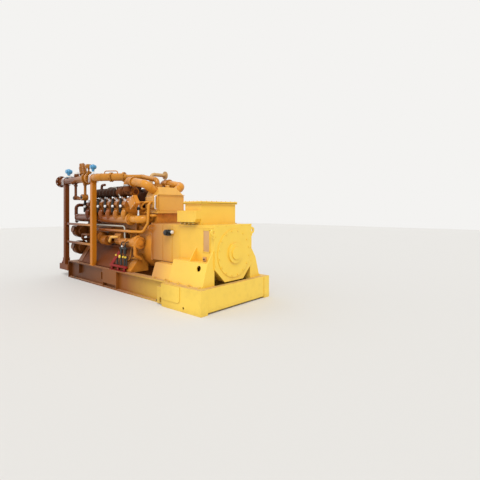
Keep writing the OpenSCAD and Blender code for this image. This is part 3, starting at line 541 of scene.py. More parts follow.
# Engine block
# Cast-iron crankcase, base, flywheel housing and gear housing. Thick ochre enamel, dark in every
# corner and duller and browner towards the front, partly from oil and partly as painted shade.
# Covers over the crank openings are bolted to the sides.
CYLINDERS, PITCH, FIRST_CYLINDER = 6, 315, 2570
BANK_ANGLE = math.radians(30)
cylinder_ds = [FIRST_CYLINDER + PITCH * k for k in range(CYLINDERS)]

engine_enamel = enamel("oily_and_shaded_ochre_enamel_on_cast_iron", "#DE9032", "#2E1206", "#A87A50", 0.32, 1.0, 0.2,
                       brush=110, oil_and_shade_fades=("#AA6420", "#6E3C14"), span=(600, -1900), gloss=0.2, reach=180)
paint_nodes(engine_enamel, "flywheel_housing", "crankcase", "gear_housing", "side_castings",
            "cylinder_heads_near", "cylinder_heads_far", "junction_box")
# The base's enamel darkens towards the front and in the corners, partly from oil stains and partly as painted
# shade.
base_enamel = enamel("oil_stained_and_shaded_enamel_on_engine_base", "#B87430", "#34160A", "#8A6040", 0.5, 0.9, 0.25,
                     brush=90, oil_and_shade_fades=("#743A14", "#643212"), span=(450, -1200), gloss=0.12, reach=220)
paint_nodes(base_enamel, "engine_base")


def bank_spot(d, r, w, side):
    """A point of a bank: r along it from the shaft, w across it towards the outside."""
    return spot(d, side * (r * math.sin(BANK_ANGLE) + w * math.cos(BANK_ANGLE)),
                shaft_z + r * math.cos(BANK_ANGLE) - w * math.sin(BANK_ANGLE))


def bank_axes(side):
    """The directions across a bank, towards the outside, and along it, away from the shaft."""
    return (Vector((0, side * math.cos(BANK_ANGLE), -math.sin(BANK_ANGLE))),
            Vector((0, side * math.sin(BANK_ANGLE), math.cos(BANK_ANGLE))))


def collar(low, high, width, ease=0, at=0):
    """The profile of a raised ring: the radius of its foot and its rim, its width and its bevel."""
    return [(at, low), (at + ease, high), (at + width - ease, high), (at + width, low)]


covers, block_seats = bmesh.new(), []
for side in SIDES:
    lean = Euler((-side * math.atan2(40, 290), 0, 0)).to_matrix()
    for d in cylinder_ds:
        middle = spot(d, side * 420.5, 1005)
        block(covers, middle - mm(105, 16, 115), middle + mm(105, 16, 115), 12, lean, middle)
        block_seats += [(middle + mm(dx, side * (16.5 + 0.138 * dz), dz), (0, side, 0), 17)
                        for dx in (-85, 85) for dz in (-95, 0, 95)]
    # Joint bolts of crankcase and base, and holding bolts of the base on the rails
    block_seats += [(spot(2460 + 140 * i, side * 416, 862), UP, 19) for i in range(14)]
    block_seats += [(spot(2550 + 320 * i, side * 672, 430), (0, side * 0.3, 1), 32) for i in range(6)]
    block_seats += [(spot(d, side * 660, 440), (0, side * 0.2, 1), 36) for d in (2260, 2360)]
piece("crankcase_covers", covers, engine_enamel)
seated("crankcase_bolts", block_seats, engine_enamel, "engine_paint")
revolved("flywheel_housing_flanges", engine_enamel, "engine_paint",
         ((1876, 0, shaft_z), FRONT, [(0, 468), (28, 468), (32, 462), (32, 400)], 64),
         ((2372, 0, shaft_z), FRONT, collar(462, 470, 38, 4), 64))


# Fittings between the cylinder heads
# The gap beside each head holds black rubber sleeves and an upright boot with a bright ball cap,
# and more caps further up. Bright zinc gives small hard highlights. The black sleeves fill the
# gaps partly as rubber boots and partly as painted shade.
zinc = plain_finish("bright_zinc_plated_steel", "#F1F3F4", 0.22, 0.6)
rubber = plain_finish("black_moulded_rubber", "#15120F", 0.6)
ball_tree = seat_tree("ball_caps", [(10, 0.24, 0.6, -0.05)], [(0.5, 0.8)])
nut_tree = seat_tree("round_cap_nuts", [(14, 0.5, 0.35, 0.0), (14, 0.36, 0.5, 0.3)])
balls, caps, sleeves_and_gap_shade = [], [], bmesh.new()
for side in SIDES:
    outward, along = bank_axes(side)
    for gap in cylinder_ds:
        d = gap + PITCH / 2
        boot = spot(d - 66, side * 660, 1585)
        turned(sleeves_and_gap_shade, boot, UP, [(0, 24), (20, 35), (200, 36), (230, 28), (300, 24), (305, 0)], 14)
        balls.append((boot + mm(0, 0, 135), (0.85, side * 0.5, 0.0), 64))
        balls.append((bank_spot(d, 1058, -120, side), along, 52))
        caps.append((bank_spot(d, 1075, -20, side), along, 56))
        # A sleeve across the gap, and short ones under the caps, black partly as rubber and partly as painted
        # shade
        turned(sleeves_and_gap_shade, bank_spot(d, 985, -160, side), outward,
               [(0, 36), (10, 46), (215, 46), (225, 30), (228, 0)], 14)
        for w, r, length, radius in ((122, 840, 160, 46), (60, 840, 220, 48), (-20, 800, 280, 50),
                                     (-120, 800, 272, 46)):
            turned(sleeves_and_gap_shade, bank_spot(d, r, w, side), along,
                   [(0, radius), (length - 10, radius), (length, radius * 0.7), (length, 0)], 14)
seated("stud_ball_caps", balls, zinc, "engine_paint", ball_tree)
seated("head_cap_nuts", caps, zinc, "engine_paint", nut_tree)
piece("head_gap_sleeves_and_painted_shade", sleeves_and_gap_shade, rubber)


# Valve covers
# Cast aluminium covers, one on each head, held by two cap nuts. The same ochre paint lies
# smoother on them, so they are glossier than the iron, darker round their edges and towards the
# front, partly from oil and partly as painted shade.
cover_enamel = enamel("ochre_enamel_on_cast_aluminium", "#B87024", "#2E1408", "#B0804E", 0.26, 0.95, 0.1,
                      brush=120, oil_and_shade_fades=("#8C5220", "#56280E"), span=(200, -2000), gloss=0.25, reach=120)
paint_nodes(cover_enamel, "valve_covers_near", "valve_covers_far")
RIB_OUTLINE = ((870, 178), (985, 178), (985, 187), (885, 187))
cover_seats, top_nuts, head_ribs = [], [], bmesh.new()
for side in SIDES:
    outward, along = bank_axes(side)
    for d in cylinder_ds:
        cover_seats += [(bank_spot(d + dd, 1012, w, side), along, 14)
                        for dd in (-78.4, 78.4) for w in (-157, -80, 80, 157)]
        top_nuts += [(bank_spot(d - 20, 1108, w, side), along, 40) for w in (-65, 65)]
        # Two ribs on the head's outer wall
        for dd in (-66, 54):
            prism(head_ribs, [bank_spot(d + dd, r, w, side) for r, w in RIB_OUTLINE], mm(12, 0, 0))
seated("valve_cover_screws", cover_seats, cover_enamel, "engine_paint")
seated("valve_cover_cap_nuts", top_nuts, zinc, "engine_paint", nut_tree)
piece("cylinder_head_ribs", head_ribs, engine_enamel)


# Intake manifolds
# Welded steel pipe along the outside of each bank, with a bent branch down from every head and
# clamps at the branches' joints. Smooth pipe takes the ochre enamel at its glossiest.
# The pipe enamel darkens towards the front and in the corners, partly from oil and partly as painted shade.
pipe_enamel = enamel("glossy_ochre_enamel_on_steel_pipe", "#E09630", "#4A1E0A", "#B98A5C", 0.2, 0.8, 0.1,
                     brush=200, oil_and_shade_fades=("#98501A", "#663212"), span=(350, -1600), gloss=0.3, reach=180)
paint_nodes(pipe_enamel, "intake_manifold_near", "intake_manifold_far", "balance_pipe", "charge_pipe_near",
            "charge_pipe_far")
MANIFOLD_Y, MANIFOLD_Z = 554, 1455


def ahead(point, axis, distance):
    """The point that lies a distance along an axis."""
    return point + axis * (distance / 1000)


collars, manifold_seats = bmesh.new(), []
for side in SIDES:
    outward, along = bank_axes(side)
    for d, r in ((2420, 127), (3735, 115)):
        manifold_seats += ring_seats(spot(d, side * MANIFOLD_Y, MANIFOLD_Z), OUT, r - 13, 8, 16)
    turnings(collars,
             ((2436, side * MANIFOLD_Y, MANIFOLD_Z), OUT,
              [(0, 127), (18, 127), (18, 104), (28, 100), (34, 86), (34, 80)], 32),
             ((4801, side * MANIFOLD_Y, MANIFOLD_Z), FRONT, [(0, 95), (20, 94), (22, 40)], 24))
    # Flanges of the branches on the heads, and clamps where they enter the manifold
    for d in cylinder_ds:
        port = bank_spot(d, 926, 180, side)
        turned(collars, port, outward, [(0, 80), (14, 80), (14, 60)], 20)
        manifold_seats += ring_seats(ahead(port, outward, 14), outward, 72, 4, 14)
        turned(collars, bank_spot(d, 845, 235, side), -along, collar(66, 70, 30, 4), 20)
piece("intake_collars", collars, pipe_enamel)
seated("intake_bolts", manifold_seats, pipe_enamel, "pipe_paint")


# Exhaust manifold and lagging
# Cast-iron exhaust runs in the vee under lagging mats, held by steel straps. Heat has burnt the
# paint to a matt dark brown, whose dark tone is partly burnt paint and partly painted shade of
# the vee, and the straps are only a little brighter.
heat_brown_and_shade = enamel("heat_browned_and_shaded_cast_iron_and_lagging", "#4A2C1C", "#160C08", "#5A4232", 0.7, 0.9, 0.15,
                    brush=70, gloss=0.1)
paint_nodes(heat_brown_and_shade, "exhaust_manifold")
strap_steel = plain_finish("heat_tinted_steel_strap", "#54463A", 0.5, 0.6)
TURBO_Y, TURBO_Z = 330, 2030
STRAPS, STRAP_STEP = 6, 158
JOINT_RINGS, RING_STEP = 5, 17


def run_spot(d, side):
    """A point on the axis of a bank's exhaust run and turbocharger."""
    return spot(d, side * TURBO_Y, TURBO_Z)


straps = bmesh.new()
for first, y, z, r in ((3330, -TURBO_Y, TURBO_Z, 108), (3330, TURBO_Y, TURBO_Z, 108), (3420, 0, 2080, 128)):
    for i in range(STRAPS):
        turned(straps, spot(first + STRAP_STEP * i, y, z), FRONT, collar(r, r + 5.5, 18), 28)
piece("lagging_straps", straps, strap_steel)

# Expansion joints of the runs, as stacks of thin rings, and the outlet's neck flange
joints = bmesh.new()
for side in SIDES:
    for i in range(JOINT_RINGS):
        turned(joints, run_spot(3235 + RING_STEP * i, side), FRONT, collar(108, 118, 14, 4), 28)
    turned(joints, run_spot(4232, side), FRONT, [(0, 112), (20, 106), (24, 50), (24, 0)], 28)
turned(joints, spot(3200, 0, 2155), UP, collar(162, 170, 28, 4), 40)
piece("exhaust_joints", joints, heat_brown_and_shade)


# Turbochargers
# One over each bank: a turbine housing of bare cast iron, rust brown and matt, and an aluminium
# compressor housing whose scroll ends in the charge pipe.
turbine_iron = enamel("rust_brown_turbine_iron", "#74421F", "#22120A", "#7A5A40", 0.6, 0.85, 0.15, brush=60,
                      gloss=0.12)
paint_nodes(turbine_iron, "turbocharger_near", "turbocharger_far")
TURBINE_D, COMPRESSOR_D = 3145, 2735


def scroll(bm, centre, throat, start_r, end_r, steps=28, sides=12):
    """A scroll housing: a tube round the shaft that grows from start_r to end_r."""
    axis, side, up = cross_axes(OUT)
    rings = []
    for i in range(steps + 1):
        a = 2 * math.pi * i / steps
        r = start_r + (end_r - start_r) * i / steps
        outwards = side * math.cos(a) + up * math.sin(a)
        middle = ahead(centre, outwards, throat + r)
        rings.append([bm.verts.new(ahead(middle, outwards * math.cos(b) + axis * math.sin(b), r))
                      for b in (2 * math.pi * j / sides for j in range(sides))])
    for low, high in zip(rings, rings[1:]):
        for j in range(sides):
            k = (j + 1) % sides
            bm.faces.new((low[j], low[k], high[k], high[j]))
    bm.faces.new(rings[0])
    bm.faces.new(rings[-1])


turbines, compressors, turbo_seats = bmesh.new(), bmesh.new(), []
for side in SIDES:
    scroll(turbines, run_spot(TURBINE_D, side), 62, 24, 36)
    turned(turbines, run_spot(TURBINE_D - 75, side), OUT, [(0, 118), (12, 112), (20, 85), (50, 80)], 28)
    turned(turbines, run_spot(3020, side), OUT, [(0, 88), (30, 88), (30, 70)])
    turbo_seats += ring_seats(run_spot(TURBINE_D - 78, side), OUT, 100, 10, 15)
    scroll(compressors, run_spot(COMPRESSOR_D, side), 55, 22, 38)
    turned(compressors, run_spot(COMPRESSOR_D - 60, side), OUT,
           [(0, 112), (10, 106), (22, 80), (52, 76), (58, 79), (58, 50), (20, 46), (20, 0)], 28)
    turned(compressors, run_spot(COMPRESSOR_D + 62, side), FRONT, [(0, 116), (14, 116), (14, 80)], 28)
    turbo_seats += ring_seats(run_spot(COMPRESSOR_D - 64, side), OUT, 96, 8, 13)
piece("turbine_scrolls", turbines, turbine_iron)
piece("compressor_scrolls", compressors, cover_enamel)
seated("turbocharger_bolts", turbo_seats, turbine_iron, "exhaust_iron")


# Charge pipes
# Fat enamelled pipes from the compressors to the cooler's hood. A black hose joint at each
# compressor is held by a pair of bright worm-drive clamps.
CHARGE_Y, CHARGE_Z = 456, 2146
hoses, clamps = bmesh.new(), bmesh.new()
for side in SIDES:
    foot = spot(COMPRESSOR_D, side * CHARGE_Y, CHARGE_Z)
    turned(hoses, foot, UP, [(-4, 86.5), (4, 91), (26, 91), (30, 86.5)], 32)
    for z in (-2, 20):
        turned(clamps, foot, UP, [(z, 92.5), (z + 10, 92.5)], 32)
    block(clamps, foot + mm(-16, side * 88, 0), foot + mm(22, side * 108, 12), 3)
piece("charge_hoses", hoses, rubber)
piece("charge_hose_clamps", clamps, zinc)


# Charge cooler
# A welded cooler box over the flywheel, with a bolted cover on the generator's side, a pyramid
# hood, and a flange round its foot. Its yellow is halfway between the generator's and the engine's.
cooler_enamel = enamel("yellow_ochre_enamel_on_welded_plate", "#EDB04A", "#94561E", "#D0A468", 0.3, 0.5, 0.3,
                       brush=200)
paint_nodes(cooler_enamel, "charge_cooler")
COVER_BASE, COVER_TOP, COVER_Y = 1622, 1936, 312
LUG_OUTLINE = ((2050, 235, 2075), (1970, 235, 2075), (1985, 262, 2125), (2035, 262, 2125))
cooler_bits = blocks(bmesh.new(), 2, [
    (1827, -COVER_Y, COVER_BASE, 1818, COVER_Y, COVER_BASE + 14),
    (1827, -COVER_Y, COVER_TOP - 14, 1818, COVER_Y, COVER_TOP),
    (1827, -COVER_Y, COVER_BASE, 1818, 14 - COVER_Y, COVER_TOP),
    (1827, COVER_Y - 14, COVER_BASE, 1818, COVER_Y, COVER_TOP)])
# Bar along the top of the cover, and the lower flange's second plate
blocks(cooler_bits, 3, [(1841, -330, 1942, 1815, 330, 1956), (2270, -352, 1574, 1812, 352, 1597)])
# Ribs on the side walls
blocks(cooler_bits, 2, [(d, 318, 1630, d + 12, 340, 1930) for d in (1865, 2205)], SIDES)
cooler_seats = seat_rows(OUT, 12, *((1819, -300, z, 1819, 300, z, 13)
                                    for z in (COVER_BASE + 12, COVER_TOP - 12)))
cooler_seats += seat_rows(UP, 16, (1828, -330, 1622, 1828, 330, 1622, 12),
                          (2200, -190, 2110, 2000, -190, 2110, 2))
for side in SIDES:
    y, header_y = side * 352, side * 370
    cooler_seats += seat_rows(UP, 16, (1860, y, 1622, 2220, y, 1622, 6))
    cooler_seats += seat_rows((0, side, 0), 14,
                              (1925, header_y, 1712, 2175, header_y, 1712, 5),
                              (1925, header_y, 1885, 2175, header_y, 1885, 5),
                              (1925, header_y, 1760, 1925, header_y, 1840, 2),
                              (2175, header_y, 1760, 2175, header_y, 1840, 2))
    # Lifting lug on the hood
    prism(cooler_bits, [spot(d, side * y, z) for d, y, z in LUG_OUTLINE], mm(0, side * 14, 0))
# Inspection cap and vent on the hood's flat top
turnings(cooler_bits,
         ((2100, 100, 2108), UP, [(0, 60), (12, 60), (12, 46), (50, 46), (56, 36), (56, 0)], 20),
         ((2170, -20, 2108), UP, [(0, 20), (60, 20), (64, 12), (64, 0)], 12))
cooler_seats += ring_seats(spot(2100, 100, 2120), UP, 53, 6, 8)
piece("charge_cooler_trim", cooler_bits, cooler_enamel)
seated("charge_cooler_bolts", cooler_seats, cooler_enamel, "engine_paint")


# Junction box
# A sheet-steel box on an arm, tilted, with a screwed lid on its outer face and three small glands
# below, under the engine's paint, and its lid screws of bright zinc.
tilt = Euler((0, math.radians(-35), 0)).to_matrix()
box_middle = spot(2170, -660, 1790)
lid = bmesh.new()
block(lid, box_middle + mm(-104, -46, -94), box_middle + mm(104, -56, 94), 4, tilt, box_middle)
for dx in (-50, 0, 50):
    turned(lid, box_middle + tilt @ mm(dx, 0, -100), tilt @ -UP,
           [(0, 14), (18, 14), (20, 10), (30, 10), (30, 0)], 10)
piece("junction_box_lid", lid, engine_enamel)
lid_screws = [(box_middle + tilt @ mm(dx, -56, dz), NEAR, 9) for dx in (-94, 0, 94) for dz in (-84, 84)]
seated("junction_box_screws", lid_screws, zinc, "engine_paint")


# Small pipes on the engine's side
# Bent steel tube of 22 to 60 mm: coolant and oil lines under ochre enamel, and galvanised
# conduit, which shows as soft grey lines on the brown.
pipe_tree, given = begin_tree("bent_tubes", "Route", "Radius", "Bend")
path = add_node(pipe_tree, "GeometryNodeMeshToCurve", {}, {0: given["Route"]})
bent = add_node(pipe_tree, "GeometryNodeFilletCurve", {"mode": "POLY", "Count": 7, "Limit Radius": True},
                {"Curve": path.outputs[0], "Radius": given["Bend"]})
section = add_node(pipe_tree, "GeometryNodeCurvePrimitiveCircle", {"Resolution": 14},
                   {"Radius": given["Radius"]})
skin = add_node(pipe_tree, "GeometryNodeCurveToMesh", {"Fill Caps": True},
                {"Curve": bent.outputs[0], "Profile Curve": section.outputs[0]})
smooth = add_node(pipe_tree, "GeometryNodeSetShadeSmooth", {}, {0: skin.outputs[0]})
end_tree(pipe_tree, smooth.outputs[0], given["Finish"])


def tubes(name, radius, bend, finish, slot_name, *routes):
    """Bent tubes along routes of corners, each a vector or (d, y, z)."""
    points, edges = [], []
    for route in routes:
        edges += [(len(points) + i, len(points) + i + 1) for i in range(len(route) - 1)]
        points += [p if isinstance(p, Vector) else spot(*p) for p in route]
    mesh = bpy.data.meshes.new(name)
    mesh.from_pydata(points, edges, [])
    return grown(name, mesh, pipe_tree, slot_name, Finish=finish, Radius=radius / 1000, Bend=bend / 1000)


conduit_steel = plain_finish("galvanised_conduit", "#B9B4A6", 0.38, 0.35)
tubes("side_conduit", 17.5, 70, conduit_steel, "pipe_paint",
      [(3900, -440, 1305), (3800, -600, 1305), (2600, -600, 1305), (2600, -600, 1063), (2600, -560, 1020)])
tubes("coolant_side_line", 30, 100, pipe_enamel, "pipe_paint",
      [(3850, -420, 1205), (3770, -600, 1205), (2350, -600, 1205), (2100, -500, 1200), (1990, -460, 1370),
       (1990, -445, 1800), (1990, -340, 1800)])
tubes("cooler_vent_line", 11, 20, zinc, "pipe_paint",
      [(1873, -330, 1920), (1873, -375, 1920), (1873, -375, 1660), (1873, -330, 1660)])
tubes("cooler_drain_line", 26, 45, pipe_enamel, "pipe_paint",
      [(1900, -330, 1530), (1900, -410, 1530), (2020, -410, 1530), (2020, -410, 1470)])
tubes("sensor_line", 20, 45, pipe_enamel, "pipe_paint",
      [(2130, -400, 1660), (2130, -520, 1660), (2130, -520, 1720), (2020, -500, 1800), (1960, -360, 1800)])
tubes("oil_lines_near", 13, 50, pipe_enamel, "pipe_paint",
      [(3300, -430, 1240), (3300, -530, 1240), (3050, -530, 1100), (2920, -530, 1120)],
      [(2450, -550, 1060), (2450, -550, 1140), (2620, -500, 1160), (2750, -460, 1250)],
      [(2200, -550, 860), (2200, -580, 700), (2360, -580, 660), (2500, -460, 660)],
      [(2420, -550, 890), (2420, -600, 620), (2600, -600, 600), (2660, -520, 660)])
tubes("oil_filter_elbow", 29, 50, cooler_enamel, "pipe_paint",
      [(3190, -600, 965), (3100, -662, 968), (3035, -664, 1065), (2860, -664, 1072), (2850, -600, 1072)])
tubes("exhaust_vent_elbow", 30, 55, pipe_enamel, "pipe_paint",
      [(4080, -330, 2100), (4080, -330, 2235), (3930, -330, 2235)])
tubes("sensor_conduit", 12, 40, conduit_steel, "pipe_paint",
      [(3420, -400, 2145), (3270, -420, 2135), (3060, -440, 1925), (3045, -440, 1880)])
tubes("oil_lines_far", 16, 50, pipe_enamel, "pipe_paint",
      [(3300, 430, 1240), (3300, 520, 1240), (2550, 520, 1240), (2550, 430, 1180)],
      [(3950, 430, 980), (3950, 500, 980), (2700, 500, 980), (2700, 430, 980)])

# Rims, bands and end covers of the castings, and the bolts of the ends and of the oval cover
PUMP_END, COOLER_END = (3545, -560, 1035), (2100, -550, 983)
side_bits = turnings(
    bmesh.new(),
    (PUMP_END, OUT, [(0, 100), (6, 94), (12, 50), (12, 0)], 28),
    ((3318, -560, 985), UP, collar(36, 46, 20, 2), 16),
    *(((d, -560, 1060), FRONT, collar(36, 46, 20, 2), 16) for d in (3100, 2990)),
    *(((d, -560, 970), OUT, collar(89, 94, 21, 3), 28) for d in (2720, 2500, 2300)),
    (COOLER_END, OUT, [(0, 118), (10, 110), (16, 60), (30, 55), (34, 30), (34, 0)], 28))
side_seats = ring_seats(spot(*PUMP_END), OUT, 108, 8, 13) + ring_seats(spot(*COOLER_END), OUT, 100, 8, 13)
side_seats += [(spot(d, -622, z), NEAR, 16) for z in (995, 1085) for d in (2790, 2865, 2940)]
piece("side_casting_trim", side_bits, engine_enamel)
seated("side_casting_bolts", side_seats, engine_enamel, "engine_paint")

# Probe with a black body on a bright stem, in the pipe below the cooler
revolved("coolant_probe", zinc, "pipe_paint",
         ((2147, -570, 1530), UP, [(0, 22), (30, 22), (35, 16), (220, 16), (225, 0)], 14))
revolved("coolant_probe_body", rubber, "pipe_paint",
         ((2147, -570, 1635), UP, [(0, 16), (4, 33), (56, 33), (62, 18), (62, 0)], 14))


# Service valves on the rail
# A red bracket on the rail's top with small black valves and their yellow caps. Chipped dark red
# enamel, black and yellow plastic make it the one patch of other colours on the engine's side.
red_enamel = enamel("chipped_red_enamel", "#961C16", "#2E120C", "#6A4638", 0.5, 0.8, 0.12, brush=40,
                    gloss=0.2)
yellow_plastic = plain_finish("yellow_moulded_caps", "#EBC63C", 0.35)
VALVE_Y, BAR_TOP = -718, 525
COCKS = ((2690, 717, 21), (2553, 698, 34), (2420, 700, 23), (2336, 697, 21))
STACKED_VALVES = ((2532, 26), (2395, 32))
red_bits = blocks(bmesh.new(), 2, [(2960, VALVE_Y - 40, 400, 2360, VALVE_Y + 40, 410)])
blocks(red_bits, 3, [(d + 30, VALVE_Y - 12, 400, d - 30, VALVE_Y + 12, 480) for d in (2900, 2660, 2420)])
blocks(red_bits, 4, [(2960, VALVE_Y - 22, 470, 2330, VALVE_Y + 22, 515)])
prism(red_bits, [spot(d, VALVE_Y - 20, z) for d, z in ((2955, 500), (2855, 500), (2555, 760), (2595, 815))],
      mm(0, 14, 0))
valve_bits, cap_bits, knob = bmesh.new(), bmesh.new(), bmesh.new()
for d, z, r in COCKS:
    turnings(valve_bits,
             ((d, VALVE_Y, BAR_TOP), UP,
              [(0, 14), (z - 575, 14), (z - 570, r), (z - 500, r), (z - 495, 0)], 12),
             ((d, VALVE_Y + 20, z), NEAR, [(0, r * 0.8), (35, r * 0.8), (35, 0)], 12))
    turned(cap_bits, spot(d, VALVE_Y - 12, z), NEAR,
           [(0, r * 0.86), (8, r), (22, r), (30, r * 0.8), (33, 0)], 14)
# Two stacked valves above them on thin risers, joined by a body with a knob
for d, r in STACKED_VALVES:
    turned(valve_bits, spot(d, VALVE_Y, BAR_TOP), UP,
           [(0, 12), (230, 12), (240, r), (360, r), (370, r * 0.6), (410, r * 0.6), (410, 0)], 12)
turned(valve_bits, spot(2580, VALVE_Y, 865), OUT,
       [(0, 20), (10, 26), (50, 26), (50, 20), (190, 20), (190, 27), (230, 27), (240, 16), (240, 0)], 12)
turned(knob, spot(2420, VALVE_Y - 26, 915), NEAR,
       [(0, 10), (15, 10), (18, 16), (28, 20), (38, 16), (40, 0)], 12)
piece("service_valve_bracket", red_bits, red_enamel)
piece("service_valve_bodies", valve_bits, dark_plastic)
piece("service_valve_knob", knob, zinc)
piece("service_valve_caps", cap_bits, yellow_plastic)
tubes("service_valve_lines", 11, 40, rubber, "skid_paint",
      [(2532, VALVE_Y, 910), (2560, VALVE_Y + 20, 980), (2560, VALVE_Y + 140, 1000)],
      [(2395, VALVE_Y, 910), (2395, VALVE_Y + 20, 990), (2395, VALVE_Y + 120, 1000)],
      [(2800, VALVE_Y, 520), (2900, VALVE_Y + 30, 550), (2900, VALVE_Y + 140, 750)])
tubes("drain_pipe", 34, 60, engine_enamel, "engine_paint",
      [(2161, -550, 1100), (2161, -640, 1100), (2161, -640, 740), (2161, -500, 660)],
      [(2170, -640, 930), (2380, -610, 930), (2380, -550, 900)])


# Water outlet
# A steel pipe that rises behind the turbochargers and crosses to the far side, where it ends in
# a flange. Its pale, matt tan paint sets it off from the ochre pipes.
tan_enamel = enamel("pale_tan_enamel_on_steel_pipe", "#D2A86C", "#6E4A28", "#CBAE8C", 0.4, 0.45, 0.4)
paint_nodes(tan_enamel, "water_outlet")
revolved("water_outlet_collars", tan_enamel, "coolant_pipe_paint",
         ((2590, 30, 2200), UP, collar(41, 52, 22, 2), 24),
         ((2590, 30, 1780), UP, collar(41, 75, 34, 2), 24))
seated("water_outlet_bolts", ring_seats(spot(2590, 30, 1812), UP, 62, 6, 14), tan_enamel,
       "coolant_pipe_paint")


# Gas train
# DN150 gas pipe with a shut-off valve between two flanges, a spring-loaded regulator, a strainer,
# and a bypass with two small valves. A grooved coupling and a reducer join it to the mixer's feed.
# Glossy orange enamel, duller and darker only where it nears the front, partly from oil and
# partly as painted shade.
gas_enamel = enamel("glossy_orange_enamel_on_gas_pipe", "#CC8830", "#44200C", "#A87A50", 0.22, 0.8, 0.1,
                    brush=180, oil_and_shade_fades=("#C07C28", "#703A16"), span=(-500, -2000), gloss=0.25)
paint_nodes(gas_enamel, "gas_pipe", "gas_regulator", "gas_bypass", "post_rungs")
GAS_Y, GAS_Z, GAS_R = -725, 2360, 84
VALVE_D, REGULATOR_D, STRAINER_D, BEND_D = 3922, 4131, 4529, 3450
MIXER_FLANGE = (2110, -150, 2161)
# Shut-off valve: its two flanges, neck and gearbox
gas_bits = turnings(
    bmesh.new(),
    *(((d, GAS_Y, GAS_Z), OUT, collar(136, 140, 22, 3), 32) for d in (VALVE_D + 74, VALVE_D - 74)),
    ((VALVE_D, GAS_Y, GAS_Z + 104), UP,
     [(0, 48), (22, 44), (30, 36), (46, 36), (46, 50), (58, 50), (58, 20), (140, 20), (140, 0)], 20),
    ((3940, GAS_Y - 48, 2638), NEAR, [(0, 34), (12, 30), (14, 12), (30, 12), (30, 0)], 16))
blocks(gas_bits, 6, [(3990, GAS_Y - 48, 2590, 3890, GAS_Y + 48, 2685)])
gas_seats = ring_seats(spot(4022, GAS_Y, GAS_Z), FRONT, 120, 8, 28)
gas_seats += ring_seats(spot(3800, GAS_Y, GAS_Z), OUT, 120, 8, 28)
# Regulator: bolted foot, cooling rings, spring cap and side stub
lean_up = Vector((-0.35, 0, 1)).normalized()
regulator_foot = ahead(spot(REGULATOR_D, GAS_Y, GAS_Z), lean_up, GAS_R + 30)
gas_seats += ring_seats(ahead(regulator_foot, lean_up, 26), lean_up, 84.5, 8, 13)
for at in (75, 115, 155):
    turned(gas_bits, regulator_foot, lean_up, collar(77, 83, 12, 3, at))
turned(gas_bits, regulator_foot + mm(-70, 0, 100), (-1, 0, -0.35),
       [(0, 22), (50, 22), (50, 30), (70, 30), (70, 0)], 14)
white_bits = bmesh.new()
turned(white_bits, regulator_foot, lean_up, [(258, 52), (278, 52), (284, 44), (284, 0)], 20)
# Strainer with its white cap, and its drain on the near side
turnings(white_bits,
         ((STRAINER_D, GAS_Y, 2500), UP, [(0, 58), (12, 58), (16, 46), (40, 42), (45, 30), (45, 0)], 20))
turnings(gas_bits,
         ((STRAINER_D, GAS_Y, 2445), UP, [(0, 66), (4, 70), (16, 70), (20, 57)], 20),
         ((4450, GAS_Y - 50, GAS_Z - 20), (-0.75, -0.45, -0.55),
          [(0, 36), (100, 36), (100, 43), (125, 43), (130, 20), (130, 0)], 16))
# Grooved coupling with its lugs, reducer and mixer
slant = Vector((0.810, 0.575, 0)).normalized()
bend_point = spot(BEND_D, GAS_Y, GAS_Z)
for across in (-112, 112):
    lug = ahead(ahead(bend_point, slant, 289), slant.cross(UP), across)
    block(gas_bits, lug - mm(22, 30, 24), lug + mm(22, 30, 24), 4,
          Euler((0, 0, math.atan2(slant.y, slant.x))).to_matrix(), lug)
    gas_seats.append((lug + mm(0, 0, 24), UP, 24))
for at in (266, 307):
    turned(gas_bits, bend_point, slant, [(at, 100), (at + 2, 106), (at + 5, 100)], 32)
gas_seats += ring_seats(ahead(bend_point, slant, 562), -slant, 96, 8, 20)
gas_seats += ring_seats(ahead(bend_point, slant, 590), slant, 96, 8, 20)
turned(gas_bits, spot(*MIXER_FLANGE), UP, [(0, 80), (14, 80), (18, 51)], 28)
gas_seats += ring_seats(spot(*MIXER_FLANGE), UP, 92, 8, 14)
# Bypass: unions on its legs and between its valves, and the two valves' faces with black handles
turnings(gas_bits,
         *(((d, GAS_Y, 2205), UP, [(0, 31), (1, 41), (26, 41), (27, 48), (40, 48), (41, 31)], 16)
           for d in (4582, 4096)),
         *(((d, GAS_Y, 1912), OUT, collar(31, 40, 29, 1), 16) for d in (4400, 4270)))
handles = bmesh.new()
for d, y, z, r in ((4130, -787, 1932, 74), (4540, -780, 1927, 50)):
    turned(gas_bits, spot(d, y, z), NEAR, [(0, r - 3), (8, r - 6), (8, r * 0.62)])
    turned(handles, spot(d, y, z), NEAR,
           [(0, r * 0.6), (12, r * 0.56), (14, r * 0.30), (30, r * 0.28), (30, 0)], 20)
    gas_seats += ring_seats(spot(d, y - 8, z), NEAR, r * 0.82, 6, 10)
piece("gas_train_fittings", gas_bits, gas_enamel)
seated("gas_train_bolts", gas_seats, gas_enamel, "pipe_paint")
piece("gas_valve_handles", handles, dark_plastic)
piece("gas_white_caps", white_bits, white_plastic)
tubes("coupling_bridge", 11, 45, gas_enamel, "pipe_paint",
      [ahead(ahead(bend_point, slant, at), UP, rise)
       for at, rise in ((130, 70), (130, 135), (430, 135), (430, 70))])
tubes("regulator_pulse_line", 6, 30, zinc, "pipe_paint",
      [regulator_foot + mm(-50, -20, 140), regulator_foot + mm(-180, -20, 140), (4340, GAS_Y - 20, 2420)])


